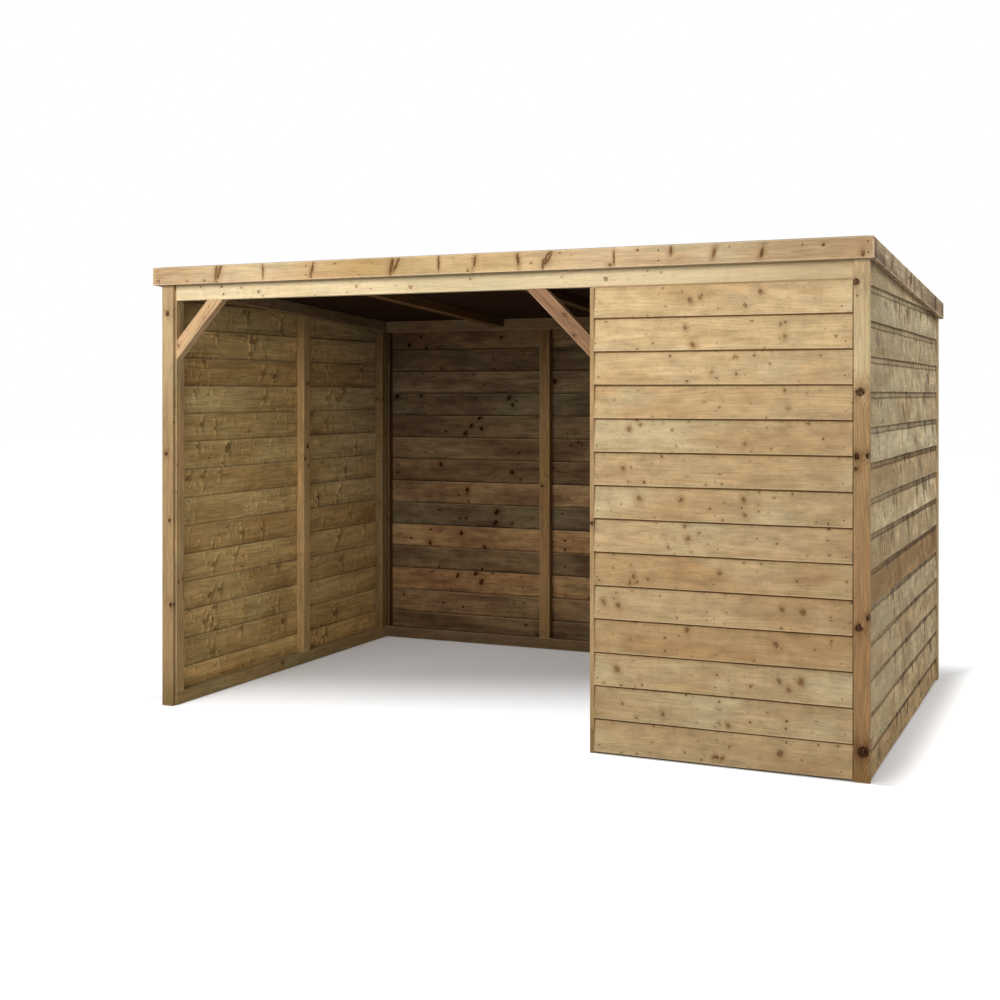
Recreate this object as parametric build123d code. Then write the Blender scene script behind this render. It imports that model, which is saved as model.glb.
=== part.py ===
from build123d import *
import math
import os

# Field shelter: a timber shed with a pent roof, an open bay and one closed front panel.
# Three framed panels clad in overlapping boards stand on the ground round a bare floor. A header
# beam closes the front at the top, two braces stiffen it, and three rafters carry a felted deck.
# Millimetres. X runs to the right seen from the front, Y to the back and Z up. The origin is
# on the ground, in the middle of the space that the roof covers.

# Overall sizes
width = 3380.0           # over the corner trims
depth = 2220.0           # from the front trims' face to the back trims' back
roof_front = 2085.0      # height of the deck's underside at the front trims' face
roof_fall = 0.055        # drop of the roof for each millimetre towards the back

# Framing timber
frame_face = 63.0        # a stud's or a rail's visible face
frame_depth = 48.0       # its size through the wall
eased_edge = 3.0         # radius along a sawn timber's four long edges
rafter_width = 50.0
rafter_height = 48.0
side_stud_place = 1191.0  # middle stud's centre line, from the front of a side frame

# Cladding boards, each lapped over the one below
board_thickness = 10.0
board_width = 152.0
front_cover = 140.7      # height that each board shows on the front panel
side_cover = 139.6
back_cover = 135.75
ground_gap = 7.0         # from the ground to the lowest board
right_trimmed_off = 17.6  # ripped off the lowest board of the right wall
header_gap = 6.0         # shadow line between the front panel's boards and the header

# Front
opening_width = 2150.0   # clear width of the open bay
header_height = 115.0    # from the header's lower edge to the deck, at the trims' face
left_brace_run = 225.0   # along the header, from the post to the brace's centre line
left_brace_rise = 240.0  # up the post, from the brace's centre line to the header
right_brace_run = 258.0
right_brace_rise = 260.0
edge_trim_width = 18.0

# Corner trims
trim_thickness = 22.0
front_trim_width = 64.0
trim_edge = 4.0          # radius along the trims' long edges

# Roof
deck_thickness = 18.0
felt_thickness = 3.0
felt_lip = 4.0           # felt standing above the fascias that it is dressed against
drip_drop = 40.0         # felt turned down over the back fascia
fascia_thickness = 20.0
fascia_above = 40.0      # fascia's top above the deck's underside
fascia_below = 45.0      # and its bottom below it
fascia_edge = 3.0
deck_past_front = 22.0   # deck in front of the trims
deck_past_sides = 1.0
deck_past_back = 2.0

# Places worked out from the sizes
wall_thickness = trim_thickness + frame_depth
header_bottom = roof_front - header_height
x_left = -width / 2
x_right = width / 2
front_overhang = deck_past_front + fascia_thickness
back_overhang = deck_past_back + fascia_thickness + felt_thickness
y_front = (front_overhang - depth - back_overhang) / 2
y_back = y_front + depth
frame_front = y_front + trim_thickness
back_frame_front = y_back - wall_thickness
x_panel = x_left + wall_thickness + opening_width
half_roof = width / 2 + deck_past_sides
y_deck_front = y_front - deck_past_front
y_deck_back = y_back + deck_past_back
y_fascia_back = y_deck_back + fascia_thickness
y_roof_back = y_fascia_back + felt_thickness


def roof_line(y):
    """Height of the deck's underside at a place along Y."""
    return roof_front - roof_fall * (y - y_front)


def block(x0, x1, y0, y1, z0, z1):
    """A rectangular solid between two corners."""
    corner = (Align.MIN, Align.MIN, Align.MIN)
    return Pos(x0, y0, z0) * Box(x1 - x0, y1 - y0, z1 - z0, align=corner)


def eased(solid, axis, radius):
    """Rounds the four long edges of a timber that runs along an axis."""
    long_edges = solid.edges().filter_by(axis)
    return fillet(long_edges, radius)


def timber(x0, x1, y0, y1, z0, z1, axis, radius=eased_edge):
    """A straight timber with eased long edges."""
    return eased(block(x0, x1, y0, y1, z0, z1), axis, radius)


def under_roof(x0, x1, y0, y1, z0=0.0, drop=0.0):
    """The space between a level and the roof's underside, or a drop below it."""
    outline = Polygon(
        (y0, z0),
        (y1, z0),
        (y1, roof_line(y1) - drop),
        (y0, roof_line(y0) - drop),
        align=None,
    )
    return extrude(Plane.YZ.offset(x0) * outline, x1 - x0, dir=(1, 0, 0))


def slope_timber(x0, x1, y0, y1, above, below, radius):
    """A timber that runs down the roof's slope, from above to below the deck's underside."""
    outline = Polygon(
        (y0, roof_line(y0) - below),
        (y1, roof_line(y1) - below),
        (y1, roof_line(y1) + above),
        (y0, roof_line(y0) + above),
        align=None,
    )
    solid = extrude(Plane.YZ.offset(x0) * outline, x1 - x0, dir=(1, 0, 0))
    slope = Axis((0, 0, 0), (0, 1, -roof_fall))
    return eased(solid, slope, radius)


def post(x0, x1, y0, y1, z0, drop=0.0, radius=eased_edge):
    """An upright timber whose top is cut to the roof's slope."""
    top = roof_line(y0)
    upright = timber(x0, x1, y0, y1, z0, top, Axis.Z, radius)
    return upright & under_roof(x0, x1, y0, y1, z0, drop)


def lapped_outline(cover, trimmed_off, top):
    """Section through overlapping boards: (distance out from the frame, height)."""
    lean = board_thickness * board_width / cover
    start = ground_gap - trimmed_off
    count = math.ceil((top - start) / cover)
    outer = []
    inner = []
    for board in range(count):
        foot = start + board * cover
        outer.append((lean + board_thickness, foot))
        outer.append((lean, foot + cover))
        if board > 0:
            inner.append((board_thickness, foot + board_width - cover))
        else:
            inner.append((lean, foot))
        inner.append((0.0, foot + board_width))
    return outer, inner


def cladding_face(plane, cover, trimmed_off, top):
    """The boards' section as a face, on a plane whose X points out of the wall."""
    outer, inner = lapped_outline(cover, trimmed_off, top)
    crown = (inner[-1][0] + board_thickness, inner[-1][1])
    outline = outer[:-1] + [crown] + list(reversed(inner))
    return plane * Polygon(*outline, align=None)


def side_cladding(side, trimmed_off):
    """Boards of a side wall, cut to the slope of the roof. Side is -1 or 1."""
    frame_face_x = side * (width / 2 - trim_thickness)
    plane = Plane(origin=(frame_face_x, frame_front, 0), x_dir=(side, 0, 0), z_dir=(0, -side, 0))
    section = cladding_face(plane, side_cover, trimmed_off, roof_front)
    length = back_frame_front - frame_front
    boards = extrude(section, length, dir=(0, 1, 0))
    outside = side * (width / 2)
    low, high = sorted((frame_face_x, outside))
    return boards & under_roof(low, high, frame_front, back_frame_front, ground_gap)


def front_cladding():
    """Boards of the closed front panel, between its edge trim and the corner trim."""
    plane = Plane(origin=(0, frame_front, 0), x_dir=(0, -1, 0), z_dir=(-1, 0, 0))
    top = header_bottom - header_gap
    section = cladding_face(plane, front_cover, 0.0, top)
    x0 = x_panel + edge_trim_width
    x1 = x_right - front_trim_width
    boards = extrude(Pos(x0, 0, 0) * section, x1 - x0, dir=(1, 0, 0))
    return boards & block(x0, x1, y_front, frame_front, ground_gap, top)


def back_cladding():
    """Boards of the back wall, between the back corner trims."""
    plane = Plane(origin=(0, y_back - trim_thickness, 0), x_dir=(0, 1, 0), z_dir=(1, 0, 0))
    section = cladding_face(plane, back_cover, 0.0, roof_line(y_back - trim_thickness))
    x0 = x_left + trim_thickness
    x1 = x_right - trim_thickness
    boards = extrude(Pos(x0, 0, 0) * section, x1 - x0, dir=(1, 0, 0))
    return boards & under_roof(x0, x1, y_back - trim_thickness, y_back, ground_gap)


def side_wall(name, side, trimmed_off):
    """Frame and boards of a side wall."""
    frame_out = side * (width / 2 - trim_thickness)
    frame_in = side * (width / 2 - wall_thickness)
    x0, x1 = sorted((frame_out, frame_in))
    y0 = frame_front
    y1 = back_frame_front
    middle = y0 + side_stud_place - frame_face / 2
    parts[f"{name}_bottom_rail"] = timber(x0, x1, y0, y1, 0.0, frame_face, Axis.Y)
    parts[f"{name}_top_rail"] = slope_timber(x0, x1, y0, y1, 0.0, frame_face, eased_edge)
    stud_places = {"front": y0, "middle": middle, "back": y1 - frame_face}
    for place, start in stud_places.items():
        end = start + frame_face
        parts[f"{name}_{place}_stud"] = post(x0, x1, start, end, frame_face, frame_face)
    parts[f"{name}_cladding"] = side_cladding(side, trimmed_off)


def back_wall():
    """Frame and boards of the back wall, which runs behind both side walls."""
    x0 = x_left + trim_thickness
    x1 = x_right - trim_thickness
    y0 = back_frame_front
    y1 = y0 + frame_depth
    parts["back_bottom_rail"] = timber(x0, x1, y0, y1, 0.0, frame_face, Axis.X)
    rail_bottom = roof_line(y1) - frame_face
    rail = timber(x0, x1, y0, y1, rail_bottom, roof_line(y0) + eased_edge, Axis.X)
    parts["back_top_rail"] = rail & under_roof(x0, x1, y0, y1, rail_bottom)
    bay = (x1 - x0) / 3
    stud_places = {
        "back_left_stud": x0,
        "back_inner_stud_left": x0 + bay - frame_face / 2,
        "back_inner_stud_right": x1 - bay - frame_face / 2,
        "back_right_stud": x1 - frame_face,
    }
    for name, start in stud_places.items():
        end = start + frame_face
        parts[name] = timber(start, end, y0, y1, frame_face, rail_bottom, Axis.Z)
    parts["back_cladding"] = back_cladding()


def front_panel():
    """Frame, boards and edge trim of the closed panel beside the open bay."""
    x0 = x_panel
    x1 = x_right - wall_thickness
    y0 = frame_front
    y1 = y0 + frame_depth
    rail_bottom = header_bottom - frame_face
    parts["panel_bottom_rail"] = timber(x0, x1, y0, y1, 0.0, frame_face, Axis.X)
    parts["panel_top_rail"] = timber(x0, x1, y0, y1, rail_bottom, header_bottom, Axis.X)
    stud_places = {
        "panel_opening_stud": x0,
        "panel_middle_stud": (x0 + x1 - frame_face) / 2,
        "panel_corner_stud": x1 - frame_face,
    }
    for name, start in stud_places.items():
        end = start + frame_face
        parts[name] = timber(start, end, y0, y1, frame_face, rail_bottom, Axis.Z)
    parts["panel_cladding"] = front_cladding()
    top = header_bottom - header_gap
    parts["panel_edge_trim"] = timber(x0, x0 + edge_trim_width, y_front, y0, 0.0, top, Axis.Z)


def brace(x_post, x_out, run, rise):
    """A raking brace from a post up to the header. x_out is 1 or -1, away from the post."""
    length = math.hypot(run, rise)
    along_header = frame_face * length / rise / 2
    along_post = frame_face * length / run / 2
    foot = header_bottom - rise
    outline = Polygon(
        (0.0, foot - along_post),
        (run + along_header, header_bottom),
        (run - along_header, header_bottom),
        (0.0, foot + along_post),
        align=None,
    )
    plane = Plane(origin=(x_post, frame_front, 0), x_dir=(x_out, 0, 0), z_dir=(0, -x_out, 0))
    solid = extrude(plane * outline, frame_depth, dir=(0, 1, 0))
    rake = Axis((0, 0, 0), (x_out * run, 0, rise))
    return eased(solid, rake, eased_edge)


def front_frame():
    """The header beam over the whole front, and its two braces."""
    x0 = x_left + wall_thickness
    x1 = x_right - wall_thickness
    y0 = frame_front
    y1 = y0 + frame_depth
    beam = timber(x0, x1, y0, y1, header_bottom, roof_line(y0) + eased_edge, Axis.X)
    parts["front_header"] = beam & under_roof(x0, x1, y0, y1, header_bottom)
    parts["left_brace"] = brace(x0, 1, left_brace_run, left_brace_rise)
    parts["right_brace"] = brace(x_panel, -1, right_brace_run, right_brace_rise)


def corner_trims():
    """Upright boards that cover the panels' meeting edges at the four corners."""
    for name, side in (("left", -1), ("right", 1)):
        outside = side * width / 2
        x0, x1 = sorted((outside, side * (width / 2 - front_trim_width)))
        parts[f"front_{name}_trim"] = post(x0, x1, y_front, frame_front, 0.0, 0.0, trim_edge)
        x0, x1 = sorted((outside, side * (width / 2 - trim_thickness)))
        parts[f"back_{name}_trim"] = post(x0, x1, back_frame_front, y_back, 0.0, 0.0, trim_edge)


def rafters():
    """Three rafters at the quarters of the width, hung between the header and the back rail."""
    y0 = frame_front + frame_depth
    y1 = back_frame_front
    for place, name in enumerate(("left", "middle", "right"), start=1):
        x0 = x_left + width * place / 4 - rafter_width / 2
        x1 = x0 + rafter_width
        parts[f"rafter_{name}"] = slope_timber(x0, x1, y0, y1, 0.0, rafter_height, eased_edge)


def slope_sheet(x0, x1, y0, y1, above, thickness):
    """A sheet laid to the roof's slope, its underside at a height above the deck's underside."""
    outline = Polygon(
        (y0, roof_line(y0) + above),
        (y1, roof_line(y1) + above),
        (y1, roof_line(y1) + above + thickness),
        (y0, roof_line(y0) + above + thickness),
        align=None,
    )
    return extrude(Plane.YZ.offset(x0) * outline, x1 - x0, dir=(1, 0, 0))


def roof_felt():
    """Felt on the deck, turned up behind the front and side fascias and down over the back."""
    under = deck_thickness
    over = under + felt_thickness
    rise = fascia_above + felt_lip - over
    sheet = slope_sheet(-half_roof, half_roof, y_deck_front, y_roof_back, under, felt_thickness)
    front = slope_sheet(
        -half_roof, half_roof, y_deck_front, y_deck_front + felt_thickness, over, rise
    )
    felt = sheet + front
    for side in (-1, 1):
        x0, x1 = sorted((side * half_roof, side * (half_roof - felt_thickness)))
        felt = felt + slope_sheet(x0, x1, y_deck_front, y_roof_back, over, rise)
    drip = slope_sheet(
        -half_roof, half_roof, y_fascia_back, y_roof_back, under - drip_drop, drip_drop
    )
    return felt + drip


def roof():
    """Deck, felt and the fascias round the roof's edge."""
    parts["roof_deck"] = slope_sheet(
        -half_roof, half_roof, y_deck_front, y_deck_back, 0.0, deck_thickness
    )
    parts["roof_felt"] = roof_felt()
    outer = half_roof + fascia_thickness
    y0 = y_deck_front - fascia_thickness
    middle = roof_line(y0)
    parts["front_fascia"] = timber(
        -outer, outer, y0, y_deck_front, middle - fascia_below, middle + fascia_above,
        Axis.X, fascia_edge,
    )
    low = roof_line(y_deck_back) - fascia_below
    high = roof_line(y_deck_back) + deck_thickness + fascia_edge
    back = timber(
        -half_roof, half_roof, y_deck_back, y_fascia_back, low, high, Axis.X, fascia_edge
    )
    cap = under_roof(-half_roof, half_roof, y_deck_back, y_fascia_back, low, -deck_thickness)
    parts["back_fascia"] = back & cap
    for name, side in (("left", -1), ("right", 1)):
        x0, x1 = sorted((side * half_roof, side * outer))
        parts[f"{name}_fascia"] = slope_timber(
            x0, x1, y_deck_front, y_roof_back, fascia_above, fascia_below, fascia_edge
        )


parts = {}
side_wall("left", -1, 0.0)
side_wall("right", 1, right_trimmed_off)
back_wall()
front_panel()
front_frame()
corner_trims()
rafters()
roof()

os.makedirs("parts", exist_ok=True)
for name, shape in parts.items():
    export_step(shape, f"parts/{name}.step")
print(len(parts), "parts written")
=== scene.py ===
import math

import bmesh
import bpy
import numpy as np
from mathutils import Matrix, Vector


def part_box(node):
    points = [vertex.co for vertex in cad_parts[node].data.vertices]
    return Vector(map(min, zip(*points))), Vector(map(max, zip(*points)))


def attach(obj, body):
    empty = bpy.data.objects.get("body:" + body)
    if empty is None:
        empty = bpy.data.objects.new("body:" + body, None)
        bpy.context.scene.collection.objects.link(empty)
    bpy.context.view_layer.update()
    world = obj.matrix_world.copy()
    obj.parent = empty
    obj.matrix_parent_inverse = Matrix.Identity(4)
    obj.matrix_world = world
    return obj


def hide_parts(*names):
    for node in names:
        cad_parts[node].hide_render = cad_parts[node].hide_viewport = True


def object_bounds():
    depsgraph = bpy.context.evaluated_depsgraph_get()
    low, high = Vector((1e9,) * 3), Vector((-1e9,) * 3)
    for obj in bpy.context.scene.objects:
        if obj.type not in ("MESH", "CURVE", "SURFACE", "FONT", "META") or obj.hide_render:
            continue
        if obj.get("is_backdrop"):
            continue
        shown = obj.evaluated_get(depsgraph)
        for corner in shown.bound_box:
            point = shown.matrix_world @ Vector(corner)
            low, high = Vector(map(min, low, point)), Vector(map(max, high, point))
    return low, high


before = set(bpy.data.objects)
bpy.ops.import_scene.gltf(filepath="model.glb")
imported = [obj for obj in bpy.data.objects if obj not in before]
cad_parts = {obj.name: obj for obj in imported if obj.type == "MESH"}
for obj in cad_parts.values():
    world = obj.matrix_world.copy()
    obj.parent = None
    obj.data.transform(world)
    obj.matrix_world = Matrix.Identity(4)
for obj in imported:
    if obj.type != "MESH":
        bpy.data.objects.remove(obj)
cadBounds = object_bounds()
scene = bpy.context.scene
print("frame loaded,", len(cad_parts), "nodes")

# Field shelter: sawn pine boards lapped over timber frames, a pent roof with felt, an open bay.
# Metres, Z up, X to the right seen from the front, Y to the back.

# What scene.py shares with the construction
timberSizes = {
    "roofFall": 0.055,        # drop of the roof for each metre towards the back
    "roofFront": 2.085,       # the deck's underside at the front trims' face
    "deckThickness": 0.018,
    "feltThickness": 0.003,
    "boardWidth": 0.152,
    "boardThickness": 0.010,
    "groundGap": 0.007,
}
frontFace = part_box("front_left_trim")[0].y
roofSlope = np.array([0.0, 1.0, -timberSizes["roofFall"]])
roofSlope /= np.linalg.norm(roofSlope)


def roofLine(y):
    # height of the deck's underside: it falls evenly from the trims' face to the back
    return timberSizes["roofFront"] - timberSizes["roofFall"] * (y - frontFace)


# Meshes

def wander(values, seed, longest=1.6):
    # a slow waviness between about -1 and 1: a sum of five sines of falling length and height,
    # with seeded phases
    draw = np.random.default_rng(seed)
    total = np.zeros_like(values, dtype=float)
    for number in range(5):
        length = longest / (1.0 + number)
        total += np.sin(2 * math.pi * values / length + draw.uniform(0, 2 * math.pi)) / (1.0 + number)
    return total / 2.0


def tubeFaces(stations, ring):
    # quads between neighbouring rings of points, and one face across each end
    station, spot = np.meshgrid(np.arange(stations - 1), np.arange(ring), indexing="ij")
    following = (spot + 1) % ring
    corners = [station * ring + spot, station * ring + following,
               (station + 1) * ring + following, (station + 1) * ring + spot]
    quads = np.stack(corners, -1).reshape(-1, 4)
    firstEnd = np.arange(ring)[::-1]
    lastEnd = np.arange(ring) + (stations - 1) * ring
    return quads.tolist() + [firstEnd.tolist(), lastEnd.tolist()]


def joinShells(shells):
    # several closed shells as one list of points and faces, with their attributes end to end
    points = []
    faces = []
    attributes = {}
    total = 0
    for shell in shells:
        points.append(shell["points"])
        faces += [[corner + total for corner in face] for face in shell["faces"]]
        for label, values in shell.get("attributes", {}).items():
            attributes.setdefault(label, []).append(values)
        total += len(shell["points"])
    together = {label: np.concatenate(values) for label, values in attributes.items()}
    return {"points": np.concatenate(points), "faces": faces, "attributes": together}


sharpAngle = math.radians(35.0)       # faces that meet at more than this keep a crisp edge


def makePiece(name, shell, material, slotName, replaced=()):
    # a mesh object in the frame's place, with outward faces, that rides on the shelter
    mesh = bpy.data.meshes.new(name)
    mesh.from_pydata(shell["points"], [], shell["faces"])
    form = bmesh.new()
    form.from_mesh(mesh)
    bmesh.ops.recalc_face_normals(form, faces=form.faces)
    form.to_mesh(mesh)
    form.free()
    for label, values in shell["attributes"].items():
        kind, field = ("FLOAT_VECTOR", "vector") if values.ndim == 2 else ("FLOAT", "value")
        layer = mesh.attributes.new(label, kind, "POINT")
        layer.data.foreach_set(field, values.astype(np.float32).ravel())
    mesh.shade_smooth()
    mesh.set_sharp_from_angle(angle=sharpAngle)
    mesh.materials.append(material)
    piece = bpy.data.objects.new(name, mesh)
    scene.collection.objects.link(piece)
    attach(piece, "root")
    if replaced:
        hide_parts(*replaced)
    return piece


# Shader values

class Wire:
    # a number, vector or colour on its way through a shader; arithmetic with it adds a node

    def __init__(self, socket):
        self.socket = socket
        self.tree = socket.id_data

    def __add__(self, other):
        return maths("ADD", self, other)

    def __sub__(self, other):
        return maths("SUBTRACT", self, other)

    def __rsub__(self, other):
        return maths("SUBTRACT", other, self)

    def __mul__(self, other):
        return maths("MULTIPLY", self, other)

    def __truediv__(self, other):
        return maths("DIVIDE", self, other)

    def __rtruediv__(self, other):
        return maths("DIVIDE", other, self)

    __radd__ = __add__
    __rmul__ = __mul__


class Wires:
    # a node's outputs, by name or number

    def __init__(self, sockets):
        self.sockets = sockets

    def __getitem__(self, key):
        return Wire(self.sockets[key])

    def __iter__(self):
        return map(Wire, self.sockets)


def treeOf(terms):
    # the tree that the first wire among several terms runs through
    return next(term.tree for term in terms if isinstance(term, Wire))


def addNode(tree, kind, values=None, **settings):
    # one shader node; values holds what goes in, plain or as wires, by input name or number
    node = tree.nodes.new("ShaderNode" + kind)
    for setting, value in settings.items():
        setattr(node, setting, value)
    for key, value in (values or {}).items():
        if isinstance(value, Wire):
            tree.links.new(value.socket, node.inputs[key])
        else:
            node.inputs[key].default_value = value
    return Wires(node.outputs)


def isNumber(term):
    # whether a term is one number, and not a vector or a colour
    return term.socket.type == "VALUE" if isinstance(term, Wire) else isinstance(term, (int, float))


def maths(operation, *terms, output=0):
    # one number or vector worked out from others; among vectors, a number stands for one with three
    # equal parts
    kind = "Math"
    if not all(isNumber(term) for term in terms):
        kind = "VectorMath"
        terms = [(term,) * 3 if isinstance(term, (int, float)) else term for term in terms]
    return addNode(treeOf(terms), kind, dict(enumerate(terms)), operation=operation)[output]


def length(vector):
    # how long a vector is
    return maths("LENGTH", vector, output="Value")


def reach(vector, direction):
    # how far a vector goes in a direction
    return maths("DOT_PRODUCT", vector, direction, output="Value")


def most(*terms):
    # the largest of several numbers
    largest = terms[0]
    for term in terms[1:]:
        largest = maths("MAXIMUM", largest, term)
    return largest


def vectorOf(*terms):
    # a vector of up to three numbers
    return addNode(treeOf(terms), "CombineXYZ", dict(enumerate(terms)))[0]


def split(vector):
    # a vector's three numbers
    return addNode(vector.tree, "SeparateXYZ", {0: vector})


def objectPlaceOf(tree):
    # where a shaded point is, in its object's own metres
    return addNode(tree, "TexCoord")["Object"]


def mixed(factor, first, second, blend="MIX"):
    # the first colour where the factor is 0, the second where it is 1 or more
    values = {0: factor, 6: first, 7: second}
    return addNode(treeOf(values.values()), "Mix", values, data_type="RGBA", blend_type=blend)[2]


def tinted(amount, given, tint):
    # a colour multiplied by a tint, by the share that amount gives
    return mixed(amount, given, tint, blend="MULTIPLY")


def ramp(value, low, high):
    # 0 at low, 1 at high, smooth between; low may be the larger
    values = {0: value, 1: low, 2: high}
    return addNode(value.tree, "MapRange", values, interpolation_type="SMOOTHSTEP")[0]


def fitted(value, name, form):
    # a number times the gain and plus the offset that a dictionary has for it
    gain, offset = form[name]
    return value * gain + offset


def bell(value, width):
    # a bell curve: 1 at a value of 0, and 0.37 one width away
    share = value / width
    return maths("EXPONENT", share * share * -1.0)


def noise(vector, scale=1.0, detail=2.0, roughness=0.5):
    # cloudy noise between 0 and 1, mostly near 0.5
    values = {"Vector": vector, "Scale": scale, "Detail": detail, "Roughness": roughness}
    return addNode(vector.tree, "TexNoise", values)[0]


def lineNoise(value, scale):
    # the same of one number
    values = {"W": value, "Scale": scale, "Detail": 1.0}
    return addNode(value.tree, "TexNoise", values, noise_dimensions="1D")[0]


socketKinds = {float: "NodeSocketFloat", 3: "NodeSocketVector", 4: "NodeSocketColor"}


def newGroup(name, inputs, outputs):
    # a node group with named inputs and outputs; an input's kind follows its default value
    tree = bpy.data.node_groups.new(name, "ShaderNodeTree")
    for label, value in inputs.items():
        kind = socketKinds[float] if isinstance(value, float) else socketKinds[len(value)]
        tree.interface.new_socket(label, in_out="INPUT", socket_type=kind).default_value = value
    for label, kind in outputs.items():
        tree.interface.new_socket(label, in_out="OUTPUT", socket_type="NodeSocket" + kind)
    return tree, Wires(tree.nodes.new("NodeGroupInput").outputs)


def closeGroup(tree, results):
    # the group, once each of its outputs has its wire
    ends = tree.nodes.new("NodeGroupOutput").inputs
    for label, wire in results.items():
        tree.links.new(wire.socket, ends[label])
    return tree


def useGroup(group, values):
    # what a group makes of these inputs
    return addNode(treeOf(values.values()), "Group", values, node_tree=group)


def colour(red, green, blue):
    return (red, green, blue, 1.0)


# Shared effects

def makeGrainFrame():
    # a point's place along, across and into a timber, measured from one of its corners
    tree, given = newGroup("grainFrame", {
        "Place": (0.0, 0.0, 0.0),
        "Along": (1.0, 0.0, 0.0),
        "Across": (0.0, 1.0, 0.0),
        "Depth": (0.0, 0.0, 1.0),
        "Corner": (0.0, 0.0, 0.0),
    }, {"Place": "Vector"})
    terms = [reach(given["Place"], given[axis]) for axis in ("Along", "Across", "Depth")]
    return closeGroup(tree, {"Place": vectorOf(*terms) - given["Corner"]})


# Distances in metres, but the halo's reach, which is in radii. A knot's radius times each draw, in
# a sine, gives the knot a chance of its own.
knotForm = {
    "leanDraw": 7000.0,
    "bowDraw": 3300.0,
    "bow": 5.0,               # how far a ridge bends, for each square metre across the board
    "heart": (0.75, 0.1, 0.3),     # a knot pales between these shares of its radius, by so much
    "haloReach": 2.6,
    "ridgeBase": 0.005,       # a ridge's width, and what a radius adds to it
    "ridgeGain": 0.7,
    "ridgeReach": 0.042,      # how far it runs across the board
    "shadedPlace": -1.7,      # the side of painted shade, in ridge widths, and its strength
    "shadedShare": -0.6,
}
knotOutputs = {"Knot": "Float", "Halo": "Float", "Ridge": "Float"}


def makePlacedKnot():
    # one knot: its place along and across the board and its radius come as one vector. Spike draws
    # it out across the board, Lean tips it over, Stray varies the lean and Soft blurs the rim. The
    # halo is a bell curve of the distance. The ridge, where the whole board swells, is painted light
    # and shade: one bell curve of the distance along it, a painted highlight, less another beside it,
    # the painted shade.
    tree, given = newGroup("placedKnot", {
        "Place": (0.0, 0.0, 0.0),
        "Knot": (0.0, 0.0, 0.01),
        "Spike": 1.0,
        "Lean": 0.0,
        "Stray": 0.0,
        "Soft": 0.15,
    }, knotOutputs)
    lengthways, across, _ = split(given["Place"] - given["Knot"])
    radius = split(given["Knot"])[2]
    lean = maths("SINE", radius * knotForm["leanDraw"]) * given["Stray"] + given["Lean"]
    upright = lengthways - across * lean
    distance = length(vectorOf(upright, across / given["Spike"]))
    share = distance / most(radius, 0.0001)
    rim = ramp(share, 1.0 + given["Soft"], 1.0 - given["Soft"])
    outer, inner, paling = knotForm["heart"]
    heart = 1.0 - ramp(share, outer, inner) * paling
    present = maths("GREATER_THAN", radius, 0.0)
    turned = maths("SINE", radius * knotForm["bowDraw"]) * knotForm["bow"]
    bow = upright + across * across * turned
    width = radius * knotForm["ridgeGain"] + knotForm["ridgeBase"]
    # a painted highlight along the ridge, less painted shade beside it
    shaded = bell(bow + width * knotForm["shadedPlace"], width)
    litAndShaded = bell(bow, width) + shaded * knotForm["shadedShare"]
    return closeGroup(tree, {
        "Knot": rim * heart,
        "Halo": bell(share, knotForm["haloReach"]) * present,
        "Ridge": litAndShaded * bell(across, knotForm["ridgeReach"]) * present,
    })


pinForm = {
    "stretch": (0.8, 1.0, 0.0),    # a knot is a little longer along the grain
    "spread": 0.055,          # metres from one to the next, about
    "least": 0.0012,          # the smallest one's radius
    "ragged": 0.008,
    "rim": (1.25, 0.7),       # in radii, like the halo's reach
    "haloReach": 2.5,
    "whorlScale": 3.1,        # whorls in a metre of timber, how clear of each other they are,
    "whorls": (0.42, 0.66),
    "likely": (1.5, 0.35),    # and how much likelier a knot is in one
    "lean": (1.2, -0.6),
    "ridgeWidth": 0.006,
    "shadedPlace": 0.009,
    "shadedShare": -0.7,
    "ridgeReach": 0.018,
}


def makeKnotField():
    # scattered knots: cells across the board, some of which hold a knot of a size of their own,
    # with a short ridge of swollen grain, painted as a highlight on one side and shade on the other
    inputs = {"Place": (0.0, 0.0, 0.0), "Size": 0.004, "Share": 0.4}
    tree, given = newGroup("knotField", inputs, knotOutputs)
    laid = given["Place"] * pinForm["stretch"]
    values = {"Vector": laid, "Scale": 1.0 / pinForm["spread"], "Randomness": 1.0}
    cells = addNode(tree, "TexVoronoi", values, voronoi_dimensions="2D")
    large, holding, tipped = addNode(tree, "SeparateColor", {0: cells["Color"]})
    radius = maths("POWER", large, 3.0) * (given["Size"] - pinForm["least"]) + pinForm["least"]
    share = cells["Distance"] * pinForm["spread"] / radius
    whorl = ramp(lineNoise(split(cells["Position"])[0], pinForm["whorlScale"]), *pinForm["whorls"])
    likely = given["Share"] * fitted(whorl, "likely", pinForm)
    lengthways, across, _ = split(laid - cells["Position"])
    leaning = lengthways - across * fitted(tipped, "lean", pinForm)
    present = maths("LESS_THAN", holding, likely)
    # a painted highlight along the ridge, less painted shade beside it
    shaded = bell(leaning - pinForm["shadedPlace"], pinForm["ridgeWidth"])
    litAndShaded = bell(leaning, pinForm["ridgeWidth"]) + shaded * pinForm["shadedShare"]
    return closeGroup(tree, {
        "Knot": ramp(share, *pinForm["rim"]) * present,
        "Halo": bell(share, pinForm["haloReach"]) * present,
        "Ridge": litAndShaded * bell(across, pinForm["ridgeReach"]) * present,
    })


def roughened(place, stray):
    # a place moved a little at random along and across the grain, so that outlines turn ragged
    drawn = addNode(place.tree, "TexNoise", {"Vector": place, "Scale": 70.0, "Detail": 2.0})["Color"]
    return place + (drawn - 0.5) * (2 * stray, 2 * stray, 0.0)


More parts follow.
